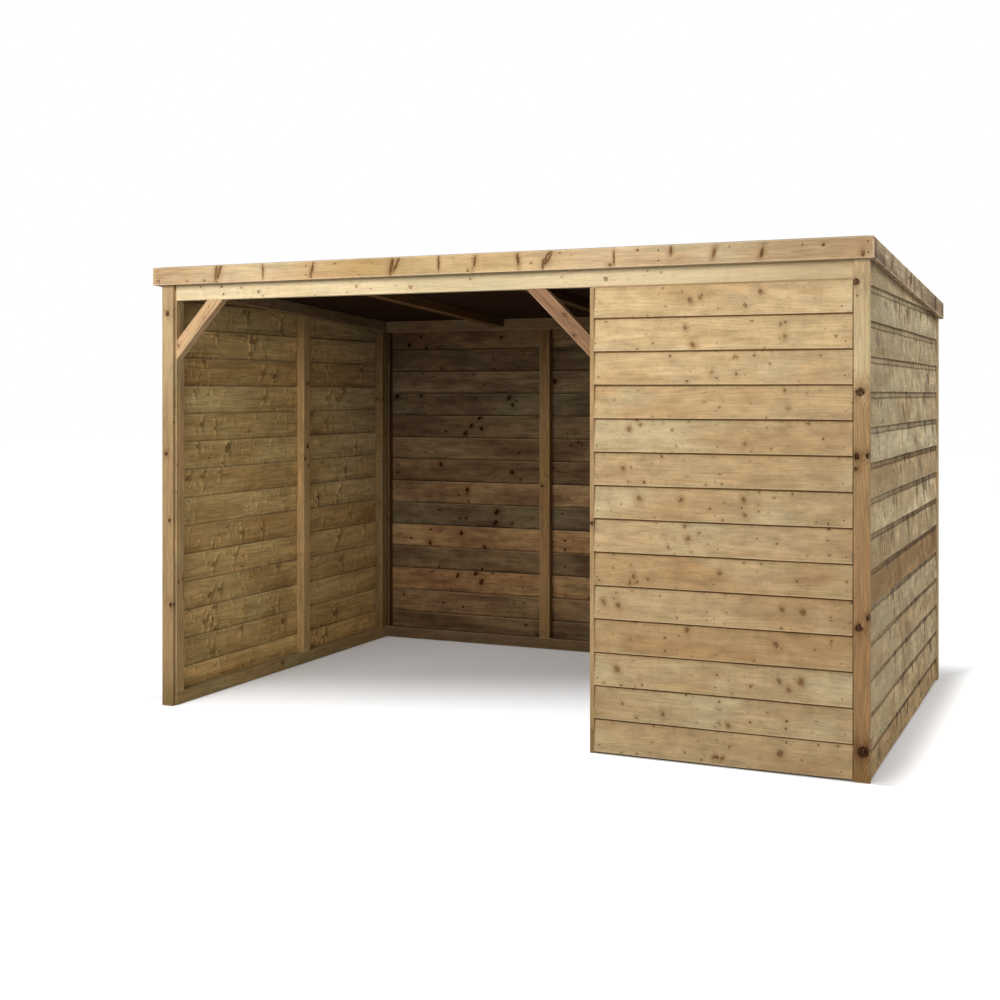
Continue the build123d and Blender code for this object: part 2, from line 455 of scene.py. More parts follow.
# The figures of the grain, all noise drawn out along it: marks in a metre along the timber and
# across it, and how much fine detail the noise has and how rough it is
grainFigures = {
    "wobble": (1.3, 8.0, 2.0, 0.5),
    "drift": (2.6, 5.0, 2.0, 0.5),
    "fibre": (9.0, 130.0, 3.0, 0.65),
    "streak": (2.2, 34.0, 3.0, 0.6),
    "patch": (1.7, 7.0, 2.0, 0.5),
    "greening": (2.3, 4.1, 2.0, 0.5),
    "mottle": (11.0, 22.0, 3.0, 0.65),
    "dash": (38.0, 420.0, 1.0, 0.5),
    "sawn": (8.0, 110.0, 2.0, 0.6),
}
# Distances are in metres. A pair is either a gain and an offset, or the noise values where a mark
# starts and where it is full.
grainForm = {
    "heartSideways": (-0.22, 0.04),    # how the heart wanders
    "heartInwards": (0.09, -0.045),
    "heartScales": (0.23, 0.41),
    "ringWobble": 0.02,       # metres that the rings stray,
    "ringSwell": 0.016,       # and that they bulge at a knot,
    "fibreDrift": 0.05,       # and the same for the fibres
    "fibreSwell": 0.010,
    "streakShare": 1.2,       # of a streak in the shade, beside a fibre
    "pinHalo": 0.45,          # a pin knot's halo and painted ridge light beside a large knot's
    "pinRidge": 0.55,
    "ridgeShade": 0.55,
    "ringRise": (0.5, 0.9),   # a ring darkens slowly and ends at once
    "ringFall": (1.0, 0.93),
    "ringBreaks": (0.3, 0.62),
    "stained": (0.42, 0.66),
    "greened": (0.48, 0.68),
    "ridgeBreaks": (0.25, 0.55),
    "smudged": (0.3, 0.6),
    "dashed": (0.70, 0.78),
    "speckScale": 170.0,
    "specked": (0.35, 0.6),
    "speckShare": (0.5, 0.5),
    "knotPatches": (0.4, 0.6),
    "knotShade": (0.7, 0.7),
    "knotRing": 0.3,          # the tint round a knot, between summerwood and knotwood
    "dashShade": 0.5,
    "roughness": (0.22, 0.52),
    "knotShine": 0.14,
    "sawnRelief": 0.9,
    "mottleRelief": 0.8,
}


def figure(place, name):
    # one of the grain's figures at a place
    often, oftenAcross, detail, roughness = grainFigures[name]
    return noise(place * (often, oftenAcross, oftenAcross), detail=detail, roughness=roughness)


def makePine(knotField):
    # sawn pine: rings round a heart that wanders behind the face, long fibres, stained and
    # greenish patches, resin dashes, pin knots, and painted light and shade where grain swells at knots
    tree, given = newGroup("pine", {
        "Place": (0.0, 0.0, 0.0),
        "Knots": 0.0,
        "Halo": 0.0,
        "Ridge": 0.0,
        "Sapwood": colour(0.55, 0.40, 0.22),
        "Summerwood": colour(0.40, 0.25, 0.11),
        "Knotwood": colour(0.12, 0.05, 0.02),
        "Stain": colour(0.45, 0.30, 0.15),
        "Bloom": colour(0.50, 0.42, 0.22),
        "Ring Width": 0.006,
        "Heart Depth": 0.08,
        "Ring Contrast": 0.5,
        "Fibre Contrast": 0.8,
        "Mottle Amount": 0.0,
        "Stain Amount": 0.6,
        "Bloom Amount": 0.5,
        "Dash Amount": 0.4,
        "Halo Amount": 0.5,
        "Ridge Amount": 0.1,
        "Pin Share": 0.4,
        "Pin Size": 0.0035,
        "Knot Strength": 1.1,
    }, {"Colour": "Color", "Roughness": "Float", "Height": "Float"})
    place = given["Place"]
    nudged = roughened(place, pinForm["ragged"])
    pins = useGroup(knotField, {"Place": nudged, "Size": given["Pin Size"], "Share": given["Pin Share"]})
    knots = most(given["Knots"], pins["Knot"])
    halo = most(given["Halo"], pins["Halo"] * grainForm["pinHalo"])

    # rings round the heart, whose place wanders along the timber
    lengthways, across, depth = split(place)
    swing, sway = (lineNoise(lengthways, scale) for scale in grainForm["heartScales"])
    sideways = across + fitted(swing, "heartSideways", grainForm)
    inwards = depth + given["Heart Depth"] + fitted(sway, "heartInwards", grainForm)
    bent = length(vectorOf(sideways, inwards)) + figure(place, "wobble") * grainForm["ringWobble"]
    swollen = bent + halo * grainForm["ringSwell"]
    saw = maths("FRACT", swollen / given["Ring Width"])
    line = ramp(saw, *grainForm["ringRise"]) * ramp(saw, *grainForm["ringFall"])

    # fibres that drift across the timber and part round the knots, and blotches that don't
    drift = (figure(place, "drift") - 0.5) * grainForm["fibreDrift"]
    flowing = place + (drift + halo * grainForm["fibreSwell"]) * (0.0, 1.0, 0.0)
    fibre = figure(flowing, "fibre")
    streak = figure(flowing, "streak")
    greening = figure(place, "greening")
    mottle = figure(place, "mottle")

    lines = line * given["Ring Contrast"] * ramp(streak, *grainForm["ringBreaks"])
    shown = mixed(lines, given["Sapwood"], given["Summerwood"])
    stain = ramp(figure(place, "patch"), *grainForm["stained"]) * given["Stain Amount"]
    shown = mixed(stain, shown, given["Stain"])
    bloom = ramp(greening, *grainForm["greened"]) * given["Bloom Amount"]
    shown = mixed(bloom, shown, given["Bloom"])

    # lighter and darker: fibres, streaks and blotches in the wood's own colour, and painted light
    # and shade where the grain swells at knots
    unevenness = (fibre - 0.5) + (streak - 0.5) * grainForm["streakShare"]
    mottled = (mottle - 0.5) * given["Mottle Amount"]
    ridgeLights = pins["Ridge"] * grainForm["pinRidge"] + given["Ridge"]
    broken = ridgeLights * ramp(mottle, *grainForm["ridgeBreaks"])
    paintedRidgeShade = broken * given["Ridge Amount"] * grainForm["ridgeShade"]
    shown = shown * (unevenness * given["Fibre Contrast"] + 1.0 + mottled + paintedRidgeShade)

    # marks: a smudge round each knot, resin dashes, and the knots, specked and paler in places
    ringed = mixed(grainForm["knotRing"], given["Summerwood"], given["Knotwood"])
    smudge = halo * ramp(mottle, *grainForm["smudged"]) * given["Halo Amount"]
    shown = mixed(smudge, shown, ringed)
    dash = ramp(figure(flowing, "dash"), *grainForm["dashed"]) * given["Dash Amount"]
    shown = mixed(dash, shown, given["Summerwood"] * grainForm["dashShade"])
    specks = ramp(noise(place, scale=grainForm["speckScale"]), *grainForm["specked"])
    knotShare = knots * fitted(specks, "speckShare", grainForm) * given["Knot Strength"]
    knotShade = fitted(ramp(greening, *grainForm["knotPatches"]), "knotShade", grainForm)
    shown = mixed(knotShare, shown, given["Knotwood"] * knotShade)
    blotches = mottle * given["Mottle Amount"] * grainForm["mottleRelief"]
    return closeGroup(tree, {
        "Colour": shown,
        "Roughness": fitted(fibre, "roughness", grainForm) - knots * grainForm["knotShine"],
        "Height": figure(place, "sawn") * grainForm["sawnRelief"] + blotches,
    })


edgeWearAndHighlightForm = {"scale": 28.0, "width": (1.6, 0.2)}     # gain and offset of the patchy width


def makeEdgeWearAndHighlight():
    # rubbed edges, paler also as a painted highlight: where a point's second smallest distance to
    # the timber's faces is small
    tree, given = newGroup("edgeWearAndHighlight", {
        "Colour": colour(0.5, 0.5, 0.5),
        "Place": (0.0, 0.0, 0.0),
        "Size": (1.0, 1.0, 1.0),
        "Worn": colour(0.7, 0.6, 0.45),
        "Width": 0.005,
        "Amount": 0.5,
    }, {"Colour": "Color"})
    place = given["Place"]
    first, second, third = split(maths("MINIMUM", place, given["Size"] - place))
    distance = most(maths("MINIMUM", first, second), maths("MINIMUM", most(first, second), third))
    width = given["Width"] * fitted(noise(place, scale=edgeWearAndHighlightForm["scale"]), "width", edgeWearAndHighlightForm)
    edge = ramp(distance, width, 0.0) * given["Amount"]
    return closeGroup(tree, {"Colour": mixed(edge, given["Colour"], given["Worn"])})


# Greys, scuffs, runs and gathered runs start at the first noise value and are full at the second
weatherAndShadeForm = {
    "broadScale": 2.3,
    "greys": (0.34, 0.68),
    "scuffScale": (7.0, 7.0, 11.0),
    "scuffs": (0.45, 0.62),
    "scuffShade": 0.4,
    "runLength": 0.4,         # runs in a metre up the wall, for each one in a metre along it
    "runs": (0.54, 0.61),
    "runReach": (0.11, 0.03),      # a run fades between these distances under the lap
    "gatherScale": 4.5,
    "gathers": (0.36, 0.58),
    "hanging": (0.65, 0.35),       # gains and offsets: what is left of a run far from its lap, and
    "gathered": (0.75, 0.25),      # where runs are rare,
    "bandShare": (0.5, 0.7),       # of the painted shadow band between runs, and on the upper boards,
    "bandFade": (-0.85, 1.0),
    "lineShare": (0.4, 0.6),       # and of the line on a sheltered face
    "bandRim": 0.85,
    "splashHeight": (0.36, 0.10),
    "splashStray": 0.22,
    "unevenScale": 7.0,
    "ragged": 0.012,          # how unevenly the painted shadow under a lap hangs
    "lowBoards": (1.2, 1.6),  # the band goes between these heights, where a second line comes alone
    "secondPlace": 0.026,
    "secondWidth": 0.0042,
    "linePlace": (0.0095, 0.0055),
}
# splash is dirt; band, second and line tint the painted shadow under a lap, and a deck's seams
weatherAndShadeTints = {
    "splash": colour(0.62, 0.62, 0.50),
    "band": colour(0.31, 0.26, 0.18),
    "second": colour(0.30, 0.24, 0.16),
    "line": colour(0.20, 0.13, 0.05),
}


def makeWeatherAndShade():
    # greening in broad patches, pale scuffs, dark runs that hang from the laps, splash near the
    # ground, and under each lap painted shadow: a thin dark line over a softer band, which a second
    # line ends; the band is partly dirt, darker where runs gather. On the upper boards the band fades
    # and the lines are left. On a roof deck the line is the seam between its boards, and on the
    # header it is painted shade under the fascia. Each multiplies by its own tint.
    tree, given = newGroup("weather", {
        "Colour": colour(0.5, 0.5, 0.5),
        "Place": (0.0, 0.0, 0.0),
        "From Lap": 1.0,
        "Exposed": 1.0,
        "Grey": colour(0.78, 0.83, 0.74),
        "Grey Amount": 0.3,
        "Scuff Amount": 0.0,
        "Run Gap": 0.03,
        "Run Amount": 0.3,
        "Run Colour": colour(0.36, 0.30, 0.21),
        "Splash Amount": 0.3,
        "Band Height": 0.03,
        "Band Amount": 0.0,
        "Second Line": 0.0,
        "Line Amount": 0.0,
    }, {"Colour": "Color"})
    place = given["Place"]
    fromLap = given["From Lap"]
    exposed = given["Exposed"]
    height = split(place)[2]
    broad = noise(place, scale=weatherAndShadeForm["broadScale"], detail=3.0)
    grey = ramp(broad, *weatherAndShadeForm["greys"]) * given["Grey Amount"]
    shown = tinted(grey, given["Colour"], given["Grey"])

    scuff = noise(place * weatherAndShadeForm["scuffScale"], detail=3.0, roughness=0.6)
    scuffed = ramp(scuff, *weatherAndShadeForm["scuffs"]) * given["Scuff Amount"] * exposed
    shown = shown * (scuffed * weatherAndShadeForm["scuffShade"] + 1.0)

    often = 1.0 / given["Run Gap"]
    level = vectorOf(often, often, often * weatherAndShadeForm["runLength"])
    run = ramp(noise(place * level, detail=3.0, roughness=0.6), *weatherAndShadeForm["runs"])
    hanging = fitted(ramp(fromLap, *weatherAndShadeForm["runReach"]), "hanging", weatherAndShadeForm)
    gathers = ramp(noise(place, scale=weatherAndShadeForm["gatherScale"]), *weatherAndShadeForm["gathers"])
    runShare = run * hanging * given["Run Amount"] * fitted(gathers, "gathered", weatherAndShadeForm)
    shown = tinted(runShare * exposed, shown, given["Run Colour"])

    uneven = noise(place, scale=weatherAndShadeForm["unevenScale"])
    splash = ramp(uneven * weatherAndShadeForm["splashStray"] + height, *weatherAndShadeForm["splashHeight"])
    shown = tinted(splash * given["Splash Amount"] * exposed, shown, weatherAndShadeTints["splash"])

    # painted shadow under each lap: a band, a second line at its foot, and a thin dark line
    ragged = (uneven - 0.5) * weatherAndShadeForm["ragged"] + fromLap
    under = ramp(ragged, given["Band Height"], given["Band Height"] * weatherAndShadeForm["bandRim"])
    band = under * fitted(run, "bandShare", weatherAndShadeForm) * given["Band Amount"]
    upper = ramp(height, *weatherAndShadeForm["lowBoards"]) * given["Second Line"]
    band = band * fitted(upper, "bandFade", weatherAndShadeForm)
    shown = tinted(band * exposed, shown, weatherAndShadeTints["band"])
    second = bell(ragged - weatherAndShadeForm["secondPlace"], weatherAndShadeForm["secondWidth"])
    shown = tinted(second * given["Second Line"] * exposed, shown, weatherAndShadeTints["second"])
    line = ramp(fromLap, *weatherAndShadeForm["linePlace"]) * given["Line Amount"]
    line = line * fitted(exposed, "lineShare", weatherAndShadeForm)
    return closeGroup(tree, {"Colour": tinted(line, shown, weatherAndShadeTints["line"])})


grainFrame = makeGrainFrame()
placedKnot = makePlacedKnot()
pine = makePine(makeKnotField())
edgeWearAndHighlight = makeEdgeWearAndHighlight()
weather = makeWeatherAndShade()
print("shared effects made")


def newMaterial(name):
    # a material and its empty tree
    material = bpy.data.materials.new(name)
    material.use_nodes = True
    material.node_tree.nodes.clear()
    return material, material.node_tree


def paint(tree, values):
    # a material's surface, with hardly any shine
    shader = addNode(tree, "BsdfPrincipled", {"Specular IOR Level": 0.03, **values})
    addNode(tree, "OutputMaterial", {"Surface": shader[0]})


def chosen(second, first, other):
    # the first of two vectors, or the other where second is 1
    return addNode(second.tree, "Mix", {0: second, 4: first, 5: other}, data_type="VECTOR")[1]


def nearestKnot(place, row):
    # the knot of a row that stands nearest along the timber: its place and radius, and its form
    where, form = row[0]
    for (last, _), (following, followingForm) in zip(row, row[1:]):
        passed = maths("GREATER_THAN", split(place)[0], float(last[0] + following[0]) / 2)
        where = chosen(passed, where, following)
        form = chosen(passed, form, followingForm)
    spike, lean, soft = split(form) if len(row) > 1 else form
    return {"Knot": where, "Spike": spike, "Lean": lean, "Soft": soft}


def knotsOf(place, knots, ragged):
    # the strongest of several placed knots and of the swollen grain round them, and the sum of
    # their painted ridge light and shade
    nudged = roughened(place, ragged)
    found = [useGroup(placedKnot, {"Place": nudged, **knot}) for knot in knots]
    return {
        "Knots": most(*(knot["Knot"] for knot in found)),
        "Halo": most(*(knot["Halo"] for knot in found)),
        "Ridge": sum((knot["Ridge"] for knot in found[1:]), found[0]["Ridge"]),
    }


punchMark = {"rim": (0.0045, 0.0025), "colour": colour(0.10, 0.065, 0.04)}


def punchNails(shown, edges, nails):
    # dark round marks in two rows, repeated along a timber by folding its length
    own, size = edges
    first, gap, apart = nails
    lengthways, across, _ = split(own)
    alongOff = maths("PINGPONG", lengthways - first, gap / 2)
    acrossOff = maths("ABSOLUTE", across - float(size[1]) / 2) - apart / 2
    distance = length(vectorOf(alongOff, acrossOff))
    return mixed(ramp(distance, *punchMark["rim"]), shown, punchMark["colour"])


# What a look has unless it says otherwise
usualLook = {
    "ragged": 0.008,          # how far a knot's outline strays
    "bump": 0.6,
    "relief": 0.0015,
    "lower": [],
    "stretches": [],
    "nails": None,
    "tone": (1.0, 1.0, 1.0),
    "startStray": 0.2,        # how unevenly a post starts to darken
    "startScale": 9.0,
}


def finishTimber(ownLook, place, objectPlace, knots, edges, tone, weatherAndShadeInputs):
    # a material's surface: pine, its own tone, which holds painted light and shade in places, rubbed
    # edges with a painted highlight, and weathered marks with painted shadow under the laps, in turn;
    # edges holds the place in the timber and the timber's size
    look = {**usualLook, **ownLook}
    values = {"Place": place, **look["pine"]}
    if knots:
        values.update(knotsOf(place, knots, look["ragged"]))
    wood = useGroup(pine, values)
    shown = tinted(1.0, wood["Colour"], tone)
    across, _, height = split(objectPlace)
    if look["lower"]:
        shift = (noise(objectPlace, scale=look["startScale"]) - 0.5) * look["startStray"] + height
        for start, end, tint in look["lower"]:
            shown = tinted(ramp(shift, start, end), shown, colour(*tint))
    for middle, width, tint in look["stretches"]:
        shown = tinted(bell(across - middle, width), shown, colour(*tint))
    if look["nails"]:
        shown = punchNails(shown, edges, look["nails"])
    # edges paler all round: rubbed wood, and a painted highlight
    worn = {"Colour": shown, "Place": edges[0], "Size": edges[1], **look["edge"]}
    shown = useGroup(edgeWearAndHighlight, worn)["Colour"]
    values = {"Colour": shown, "Place": objectPlace, **look["weather"], **weatherAndShadeInputs}
    bump = {"Strength": look["bump"], "Distance": look["relief"], "Height": wood["Height"]}
    paint(place.tree, {
        "Base Color": useGroup(weather, values)["Colour"],
        "Roughness": wood["Roughness"],
        "Normal": addNode(place.tree, "Bump", bump)[0],
    })


# Finishes of the timbers, by the record's material slots
timberLooks = {
    "frame_timber": {
        "pine": {
            "Sapwood": colour(0.50, 0.34, 0.155),
            "Summerwood": colour(0.34, 0.20, 0.08),
            "Knotwood": colour(0.10, 0.045, 0.02),
            "Stain": colour(0.42, 0.27, 0.12),
            "Bloom": colour(0.46, 0.37, 0.19),
            "Fibre Contrast": 1.0,
            "Mottle Amount": 0.4,
            "Pin Share": 0.25,
        },
        "edge": {"Worn": colour(0.62, 0.46, 0.26), "Width": 0.005, "Amount": 0.4},
        "weather": {"Grey Amount": 0.35, "Run Amount": 0.25, "Splash Amount": 0.3},
        "knots": 4,
    },
    "pale_timber": {
        "pine": {
            "Sapwood": colour(0.76, 0.615, 0.38),
            "Summerwood": colour(0.65, 0.49, 0.27),
            "Knotwood": colour(0.24, 0.13, 0.05),
            "Stain": colour(0.68, 0.53, 0.31),
            "Bloom": colour(0.66, 0.565, 0.34),
            "Ring Contrast": 0.5,
            "Fibre Contrast": 0.45,
            "Halo Amount": 0.35,
            "Dash Amount": 0.5,
            "Pin Share": 0.4,
        },
        "edge": {"Worn": colour(0.86, 0.74, 0.52), "Width": 0.004, "Amount": 0.3},
        "weather": {"Grey Amount": 0.1, "Run Amount": 0.08, "Splash Amount": 0.0},
        "knots": 3,
    },
    "brace_timber": {
        "pine": {
            "Sapwood": colour(0.62, 0.40, 0.21),
            "Summerwood": colour(0.42, 0.23, 0.11),
            "Knotwood": colour(0.14, 0.06, 0.03),
            "Stain": colour(0.52, 0.32, 0.17),
            "Bloom": colour(0.60, 0.42, 0.24),
            "Fibre Contrast": 1.3,
            "Pin Share": 0.25,
        },
        "edge": {"Worn": colour(0.78, 0.58, 0.36), "Width": 0.004, "Amount": 0.5},
        "weather": {"Grey Amount": 0.2, "Run Amount": 0.1, "Splash Amount": 0.0},
        "knots": 3,
    },
    "trim_timber": {
        "pine": {
            "Sapwood": colour(0.46, 0.30, 0.145),
            "Summerwood": colour(0.32, 0.17, 0.07),
            "Knotwood": colour(0.045, 0.014, 0.007),
            "Stain": colour(0.38, 0.22, 0.10),
            "Bloom": colour(0.44, 0.32, 0.16),
            "Fibre Contrast": 0.9,
            "Halo Amount": 0.85,
            "Pin Share": 0.2,
            "Knot Strength": 1.25,
        },
        "edge": {"Worn": colour(0.60, 0.43, 0.24), "Width": 0.005, "Amount": 0.5},
        "weather": {"Grey Amount": 0.25, "Run Amount": 0.15, "Splash Amount": 0.8},
        "knots": 4,
    },
    "fascia_timber": {
        "pine": {
            "Sapwood": colour(0.595, 0.415, 0.225),
            "Summerwood": colour(0.44, 0.27, 0.125),
            "Knotwood": colour(0.115, 0.043, 0.010),
            "Stain": colour(0.52, 0.325, 0.165),
            "Bloom": colour(0.55, 0.43, 0.24),
            "Ring Contrast": 0.6,
            "Fibre Contrast": 0.75,
            "Mottle Amount": 0.35,
            "Stain Amount": 0.75,
            "Halo Amount": 1.0,
            "Ridge Amount": 0.0,
            "Pin Share": 0.35,
            "Pin Size": 0.005,
        },
        "ragged": 0.004,
        "edge": {"Worn": colour(0.80, 0.60, 0.40), "Width": 0.008, "Amount": 0.6},
        "weather": {"Grey Amount": 0.2, "Run Amount": 0.15, "Splash Amount": 0.0},
        "knots": 6,
    },
    "roof_boards": {
        "pine": {
            "Sapwood": colour(0.040, 0.019, 0.010),
            "Summerwood": colour(0.026, 0.012, 0.006),
            "Knotwood": colour(0.012, 0.006, 0.003),
            "Stain": colour(0.032, 0.014, 0.009),
            "Bloom": colour(0.036, 0.020, 0.012),
            "Pin Share": 0.2,
        },
        "edge": {"Worn": colour(0.12, 0.08, 0.05), "Width": 0.004, "Amount": 0.3},
        "weather": {"Grey Amount": 0.2, "Run Amount": 0.0, "Splash Amount": 0.0},
        "knots": 0,
        "boardWidth": 0.1,
    },
}


# Timbers that don't lie square: a brace's run along X and rise, and those that follow the roof
braceSlopes = {"left_brace": (0.225, 0.240), "right_brace": (-0.258, 0.260)}
slopedNodes = [
    "left_fascia", "right_fascia", "left_top_rail", "right_top_rail",
    "rafter_left", "rafter_middle", "rafter_right", "roof_deck",
]


def timberFrame(name):
    # a timber's own directions, its lowest corner measured along them, and its size
    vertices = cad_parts[name].data.vertices
    points = np.empty(len(vertices) * 3, np.float32)
    vertices.foreach_get("co", points)
    points = points.reshape(-1, 3).astype(float)
    upright = np.eye(3)
    if name in braceSlopes:
        run, rise = braceSlopes[name]
        along = np.array([run, 0.0, rise]) / math.hypot(run, rise)
        axes = np.array([along, np.cross(along, upright[1]), upright[1]])
    else:
        axes = upright.copy()
        if name in slopedNodes:
            axes = np.array([upright[0], roofSlope, np.cross(upright[0], roofSlope)])
        extents = np.ptp(points @ axes.T, axis=0)
        axes = axes[np.argsort(-extents)]
    measured = points @ axes.T
    return axes, measured.min(0), np.ptp(measured, axis=0)


# Knots that show in the photograph: (place along the timber's own axis in the frame, place
# across it, radius), and for one drawn out across the timber its spike and lean too. Along is X
# or Z and across is Z or X, or on a side fascia they are measured down the roof's slope and square
# to it.
shownKnots = {
    "front_fascia": [
        (-1.343, 2.088, 0.0075, 5.4, 0.15), (-1.324, 2.094, 0.0081, 4.6, 0.32),
        (-1.337, 2.048, 0.0055), (-1.079, 2.090, 0.0047, 7.7, -0.05),
        (-0.812, 2.088, 0.0060, 5.8, 0.25), (-0.815, 2.050, 0.0042),
        (-0.399, 2.086, 0.0081, 5.0, 0.20), (-0.373, 2.094, 0.0078, 4.2, 0.50),
        (-0.402, 2.047, 0.0050), (-0.163, 2.085, 0.0042, 8.5, 0.0),
        (0.012, 2.092, 0.0049, 4.6, 0.15), (-0.020, 2.052, 0.0048),
        (0.000, 2.044, 0.0048), (0.217, 2.092, 0.0062, 3.8, -0.10),
        (0.356, 2.096, 0.0143, 2.3, 0.50), (0.334, 2.068, 0.0075, 3.2, 0.10),
        (0.334, 2.046, 0.0045), (0.635, 2.051, 0.0062),
        (0.652, 2.085, 0.0033, 9.2, 0.0), (0.898, 2.105, 0.0062, 3.5, 0.0),
        (1.080, 2.085, 0.0068, 2.5, 0.20), (1.275, 2.081, 0.0062, 3.1, 0.25),
        (1.670, 2.057, 0.0065, 1.9, 0.0), (-1.675, 2.060, 0.0045, 1.6, 0.0),
        (-1.510, 2.057, 0.0035), (-1.411, 2.054, 0.0035),
    ],
    "right_fascia": [
        (-0.790, 2.005, 0.014, 2.0, 0.3), (-0.368, 2.022, 0.014, 3.2, 0.0),
        (-0.102, 2.020, 0.016, 3.0, 0.1), (0.147, 2.015, 0.018, 2.5, -0.1),
        (0.379, 2.020, 0.015, 3.0, 0.1), (0.651, 2.022, 0.017, 2.8, 0.0),
    ],
    "front_header": [
        (-1.477, 2.032, 0.005), (-1.354, 2.032, 0.008),
        (-1.345, 1.994, 0.005), (-1.243, 2.021, 0.005),
        (-1.146, 2.001, 0.008), (-1.122, 1.980, 0.005),
        (-1.190, 1.972, 0.004), (-0.835, 1.972, 0.004),
        (-0.615, 2.007, 0.007), (-0.411, 2.003, 0.004),
        (-0.335, 1.995, 0.009), (-0.037, 2.023, 0.006),
        (0.392, 2.016, 0.004), (0.593, 2.001, 0.010),
        (0.838, 2.019, 0.004),
    ],
    "front_right_trim": [
        (1.955, 1.636, 0.014), (1.523, 1.652, 0.016),
        (1.272, 1.638, 0.012), (1.274, 1.683, 0.010),
        (1.223, 1.634, 0.009), (0.645, 1.688, 0.012),
        (0.603, 1.648, 0.015), (0.121, 1.663, 0.022),
    ],
    "front_left_trim": [
        (1.907, -1.657, 0.013), (0.491, -1.637, 0.012),
        (1.225, -1.665, 0.008), (0.900, -1.645, 0.007),
    ],
}

# What single timbers have of their own. Tone multiplies all their colours. Stretches differ along
# X: (middle, half width, tint). Lower darkens a post towards the ground: (height where it starts,
# where it is done, tint). Nails are punched just under the face: (first one's place along the
# timber, gap, between two rows). Where runsFrom is top, rain has run down from the upper edge.
# Pine and weather change some values of the slot's look.
sideFascia = {
    "runsFrom": "top",
    "tone": (0.95, 0.93, 0.90),
    "nails": (0.060, 0.433, 0.038),
    "pine": {
        "Sapwood": colour(0.44, 0.345, 0.225), "Summerwood": colour(0.24, 0.165, 0.10),
        "Stain": colour(0.15, 0.090, 0.055), "Bloom": colour(0.46, 0.37, 0.25),
        "Mottle Amount": 1.0, "Fibre Contrast": 1.0, "Stain Amount": 0.9,
    },
    "weather": {
        "Run Gap": 0.22, "Run Amount": 1.8, "Scuff Amount": 0.8, "Run Colour": colour(0.36, 0.25, 0.18),
    },
}
ownLooks = {
    "left_fascia": sideFascia,
    "right_fascia": sideFascia,
    "front_fascia": {
        "tone": (1.14, 1.20, 1.32),
        "stretches": [
            (-1.55, 0.25, (0.83, 0.77, 0.73)), (-0.55, 0.35, (0.70, 0.63, 0.46)),
            (0.05, 0.35, (0.86, 0.83, 0.71)), (1.40, 0.42, (0.74, 0.70, 0.65)),
        ],
        "nails": (0.021, 0.845, 0.042),
    },
    "front_header": {
        "tone": (1.02, 1.02, 1.01),
        "stretches": [(0.0, 0.55, (0.87, 0.87, 0.86)), (1.45, 0.35, (0.93, 0.87, 0.82))],
        "weather": {"Line Amount": 0.2},      # a little shade under the fascia
        "shadeFrom": 0.002,                   # which starts this far over the fascia's foot
    },
    "roof_deck": {"weather": {"Line Amount": 0.8}},       # the seams between its boards
    "left_brace": {
        "tone": (0.89, 0.89, 0.88),
        "pine": {"Sapwood": colour(0.76, 0.50, 0.27), "Bloom": colour(0.72, 0.50, 0.28)},
    },
    "right_brace": {
        "tone": (0.80, 0.80, 0.80),
        "pine": {
            "Sapwood": colour(0.38, 0.21, 0.115), "Summerwood": colour(0.24, 0.12, 0.06),
            "Stain": colour(0.33, 0.17, 0.09), "Bloom": colour(0.42, 0.25, 0.15),
            "Ring Contrast": 1.0,
        },
    },
    "front_right_trim": {
        "pine": {
            "Sapwood": colour(0.66, 0.49, 0.27), "Stain": colour(0.58, 0.40, 0.20),
            "Bloom": colour(0.64, 0.52, 0.31),
        },
        "lower": [(1.62, 1.42, (0.66, 0.55, 0.48)), (1.10, 0.50, (0.87, 0.82, 0.78))],
    },
    "front_left_trim": {"tone": (1.13, 1.29, 1.42), "lower": [(1.75, 1.35, (0.71, 0.63, 0.575))]},
    "back_right_trim": {"tone": (1.25, 1.34, 1.45)},
    # These tones darken timbers inside the shelter, most at the back and under the roof: painted shade
    "left_front_stud": {"tone": (0.95, 0.90, 0.90)},
    "left_middle_stud": {"tone": (1.00, 0.94, 0.88)},
    "left_back_stud": {"tone": (0.51, 0.48, 0.46)},
    "left_bottom_rail": {"tone": (0.87, 0.87, 0.87)},
    "left_top_rail": {"tone": (0.53, 0.50, 0.56)},
    "right_top_rail": {"tone": (0.50, 0.45, 0.44)},
    "back_left_stud": {"tone": (0.216, 0.17, 0.135)},
    "back_inner_stud_left": {"tone": (0.64, 0.54, 0.48)},
    "back_inner_stud_right": {"tone": (0.52, 0.42, 0.32)},
    "back_right_stud": {"tone": (0.45, 0.36, 0.28)},
    "back_bottom_rail": {"tone": (0.355, 0.325, 0.39)},
    "back_top_rail": {"tone": (0.70, 0.665, 0.76)},
    "rafter_left": {"tone": (0.36, 0.27, 0.21)},
    "rafter_middle": {"tone": (0.28, 0.20, 0.15)},
    "rafter_right": {"tone": (0.28, 0.20, 0.15)},
}

knotRims = {"drawnOut": 0.5, "round": 0.35, "seeded": 0.2}     # how soft a knot's rim is
seededForm = {
    "whorls": 2,
    "whorlEnds": (0.05, 0.95),     # they stand between these shares of the length
    "whorlSpread": 0.05,
    "between": (0.15, 0.85),  # of the timber's width
    "least": 0.003,           # radius, and what the largest knot has on top
    "extra": 0.009,
}


def seededKnots(count, size, seed):
    # knots in whorls along a timber, most of them small
    draw = np.random.default_rng(seed)
    whorls = draw.uniform(*seededForm["whorlEnds"], seededForm["whorls"]) * size[0]
    knots = []
    for _ in range(count):
        along = draw.choice(whorls) + draw.normal(0, seededForm["whorlSpread"])
        along = float(np.clip(along, 0, size[0]))
        across = float(draw.uniform(*seededForm["between"]) * size[1])
        radius = float(seededForm["least"] + seededForm["extra"] * draw.uniform(0, 1) ** 2)
        knots.append((along, across, radius))
    return knots


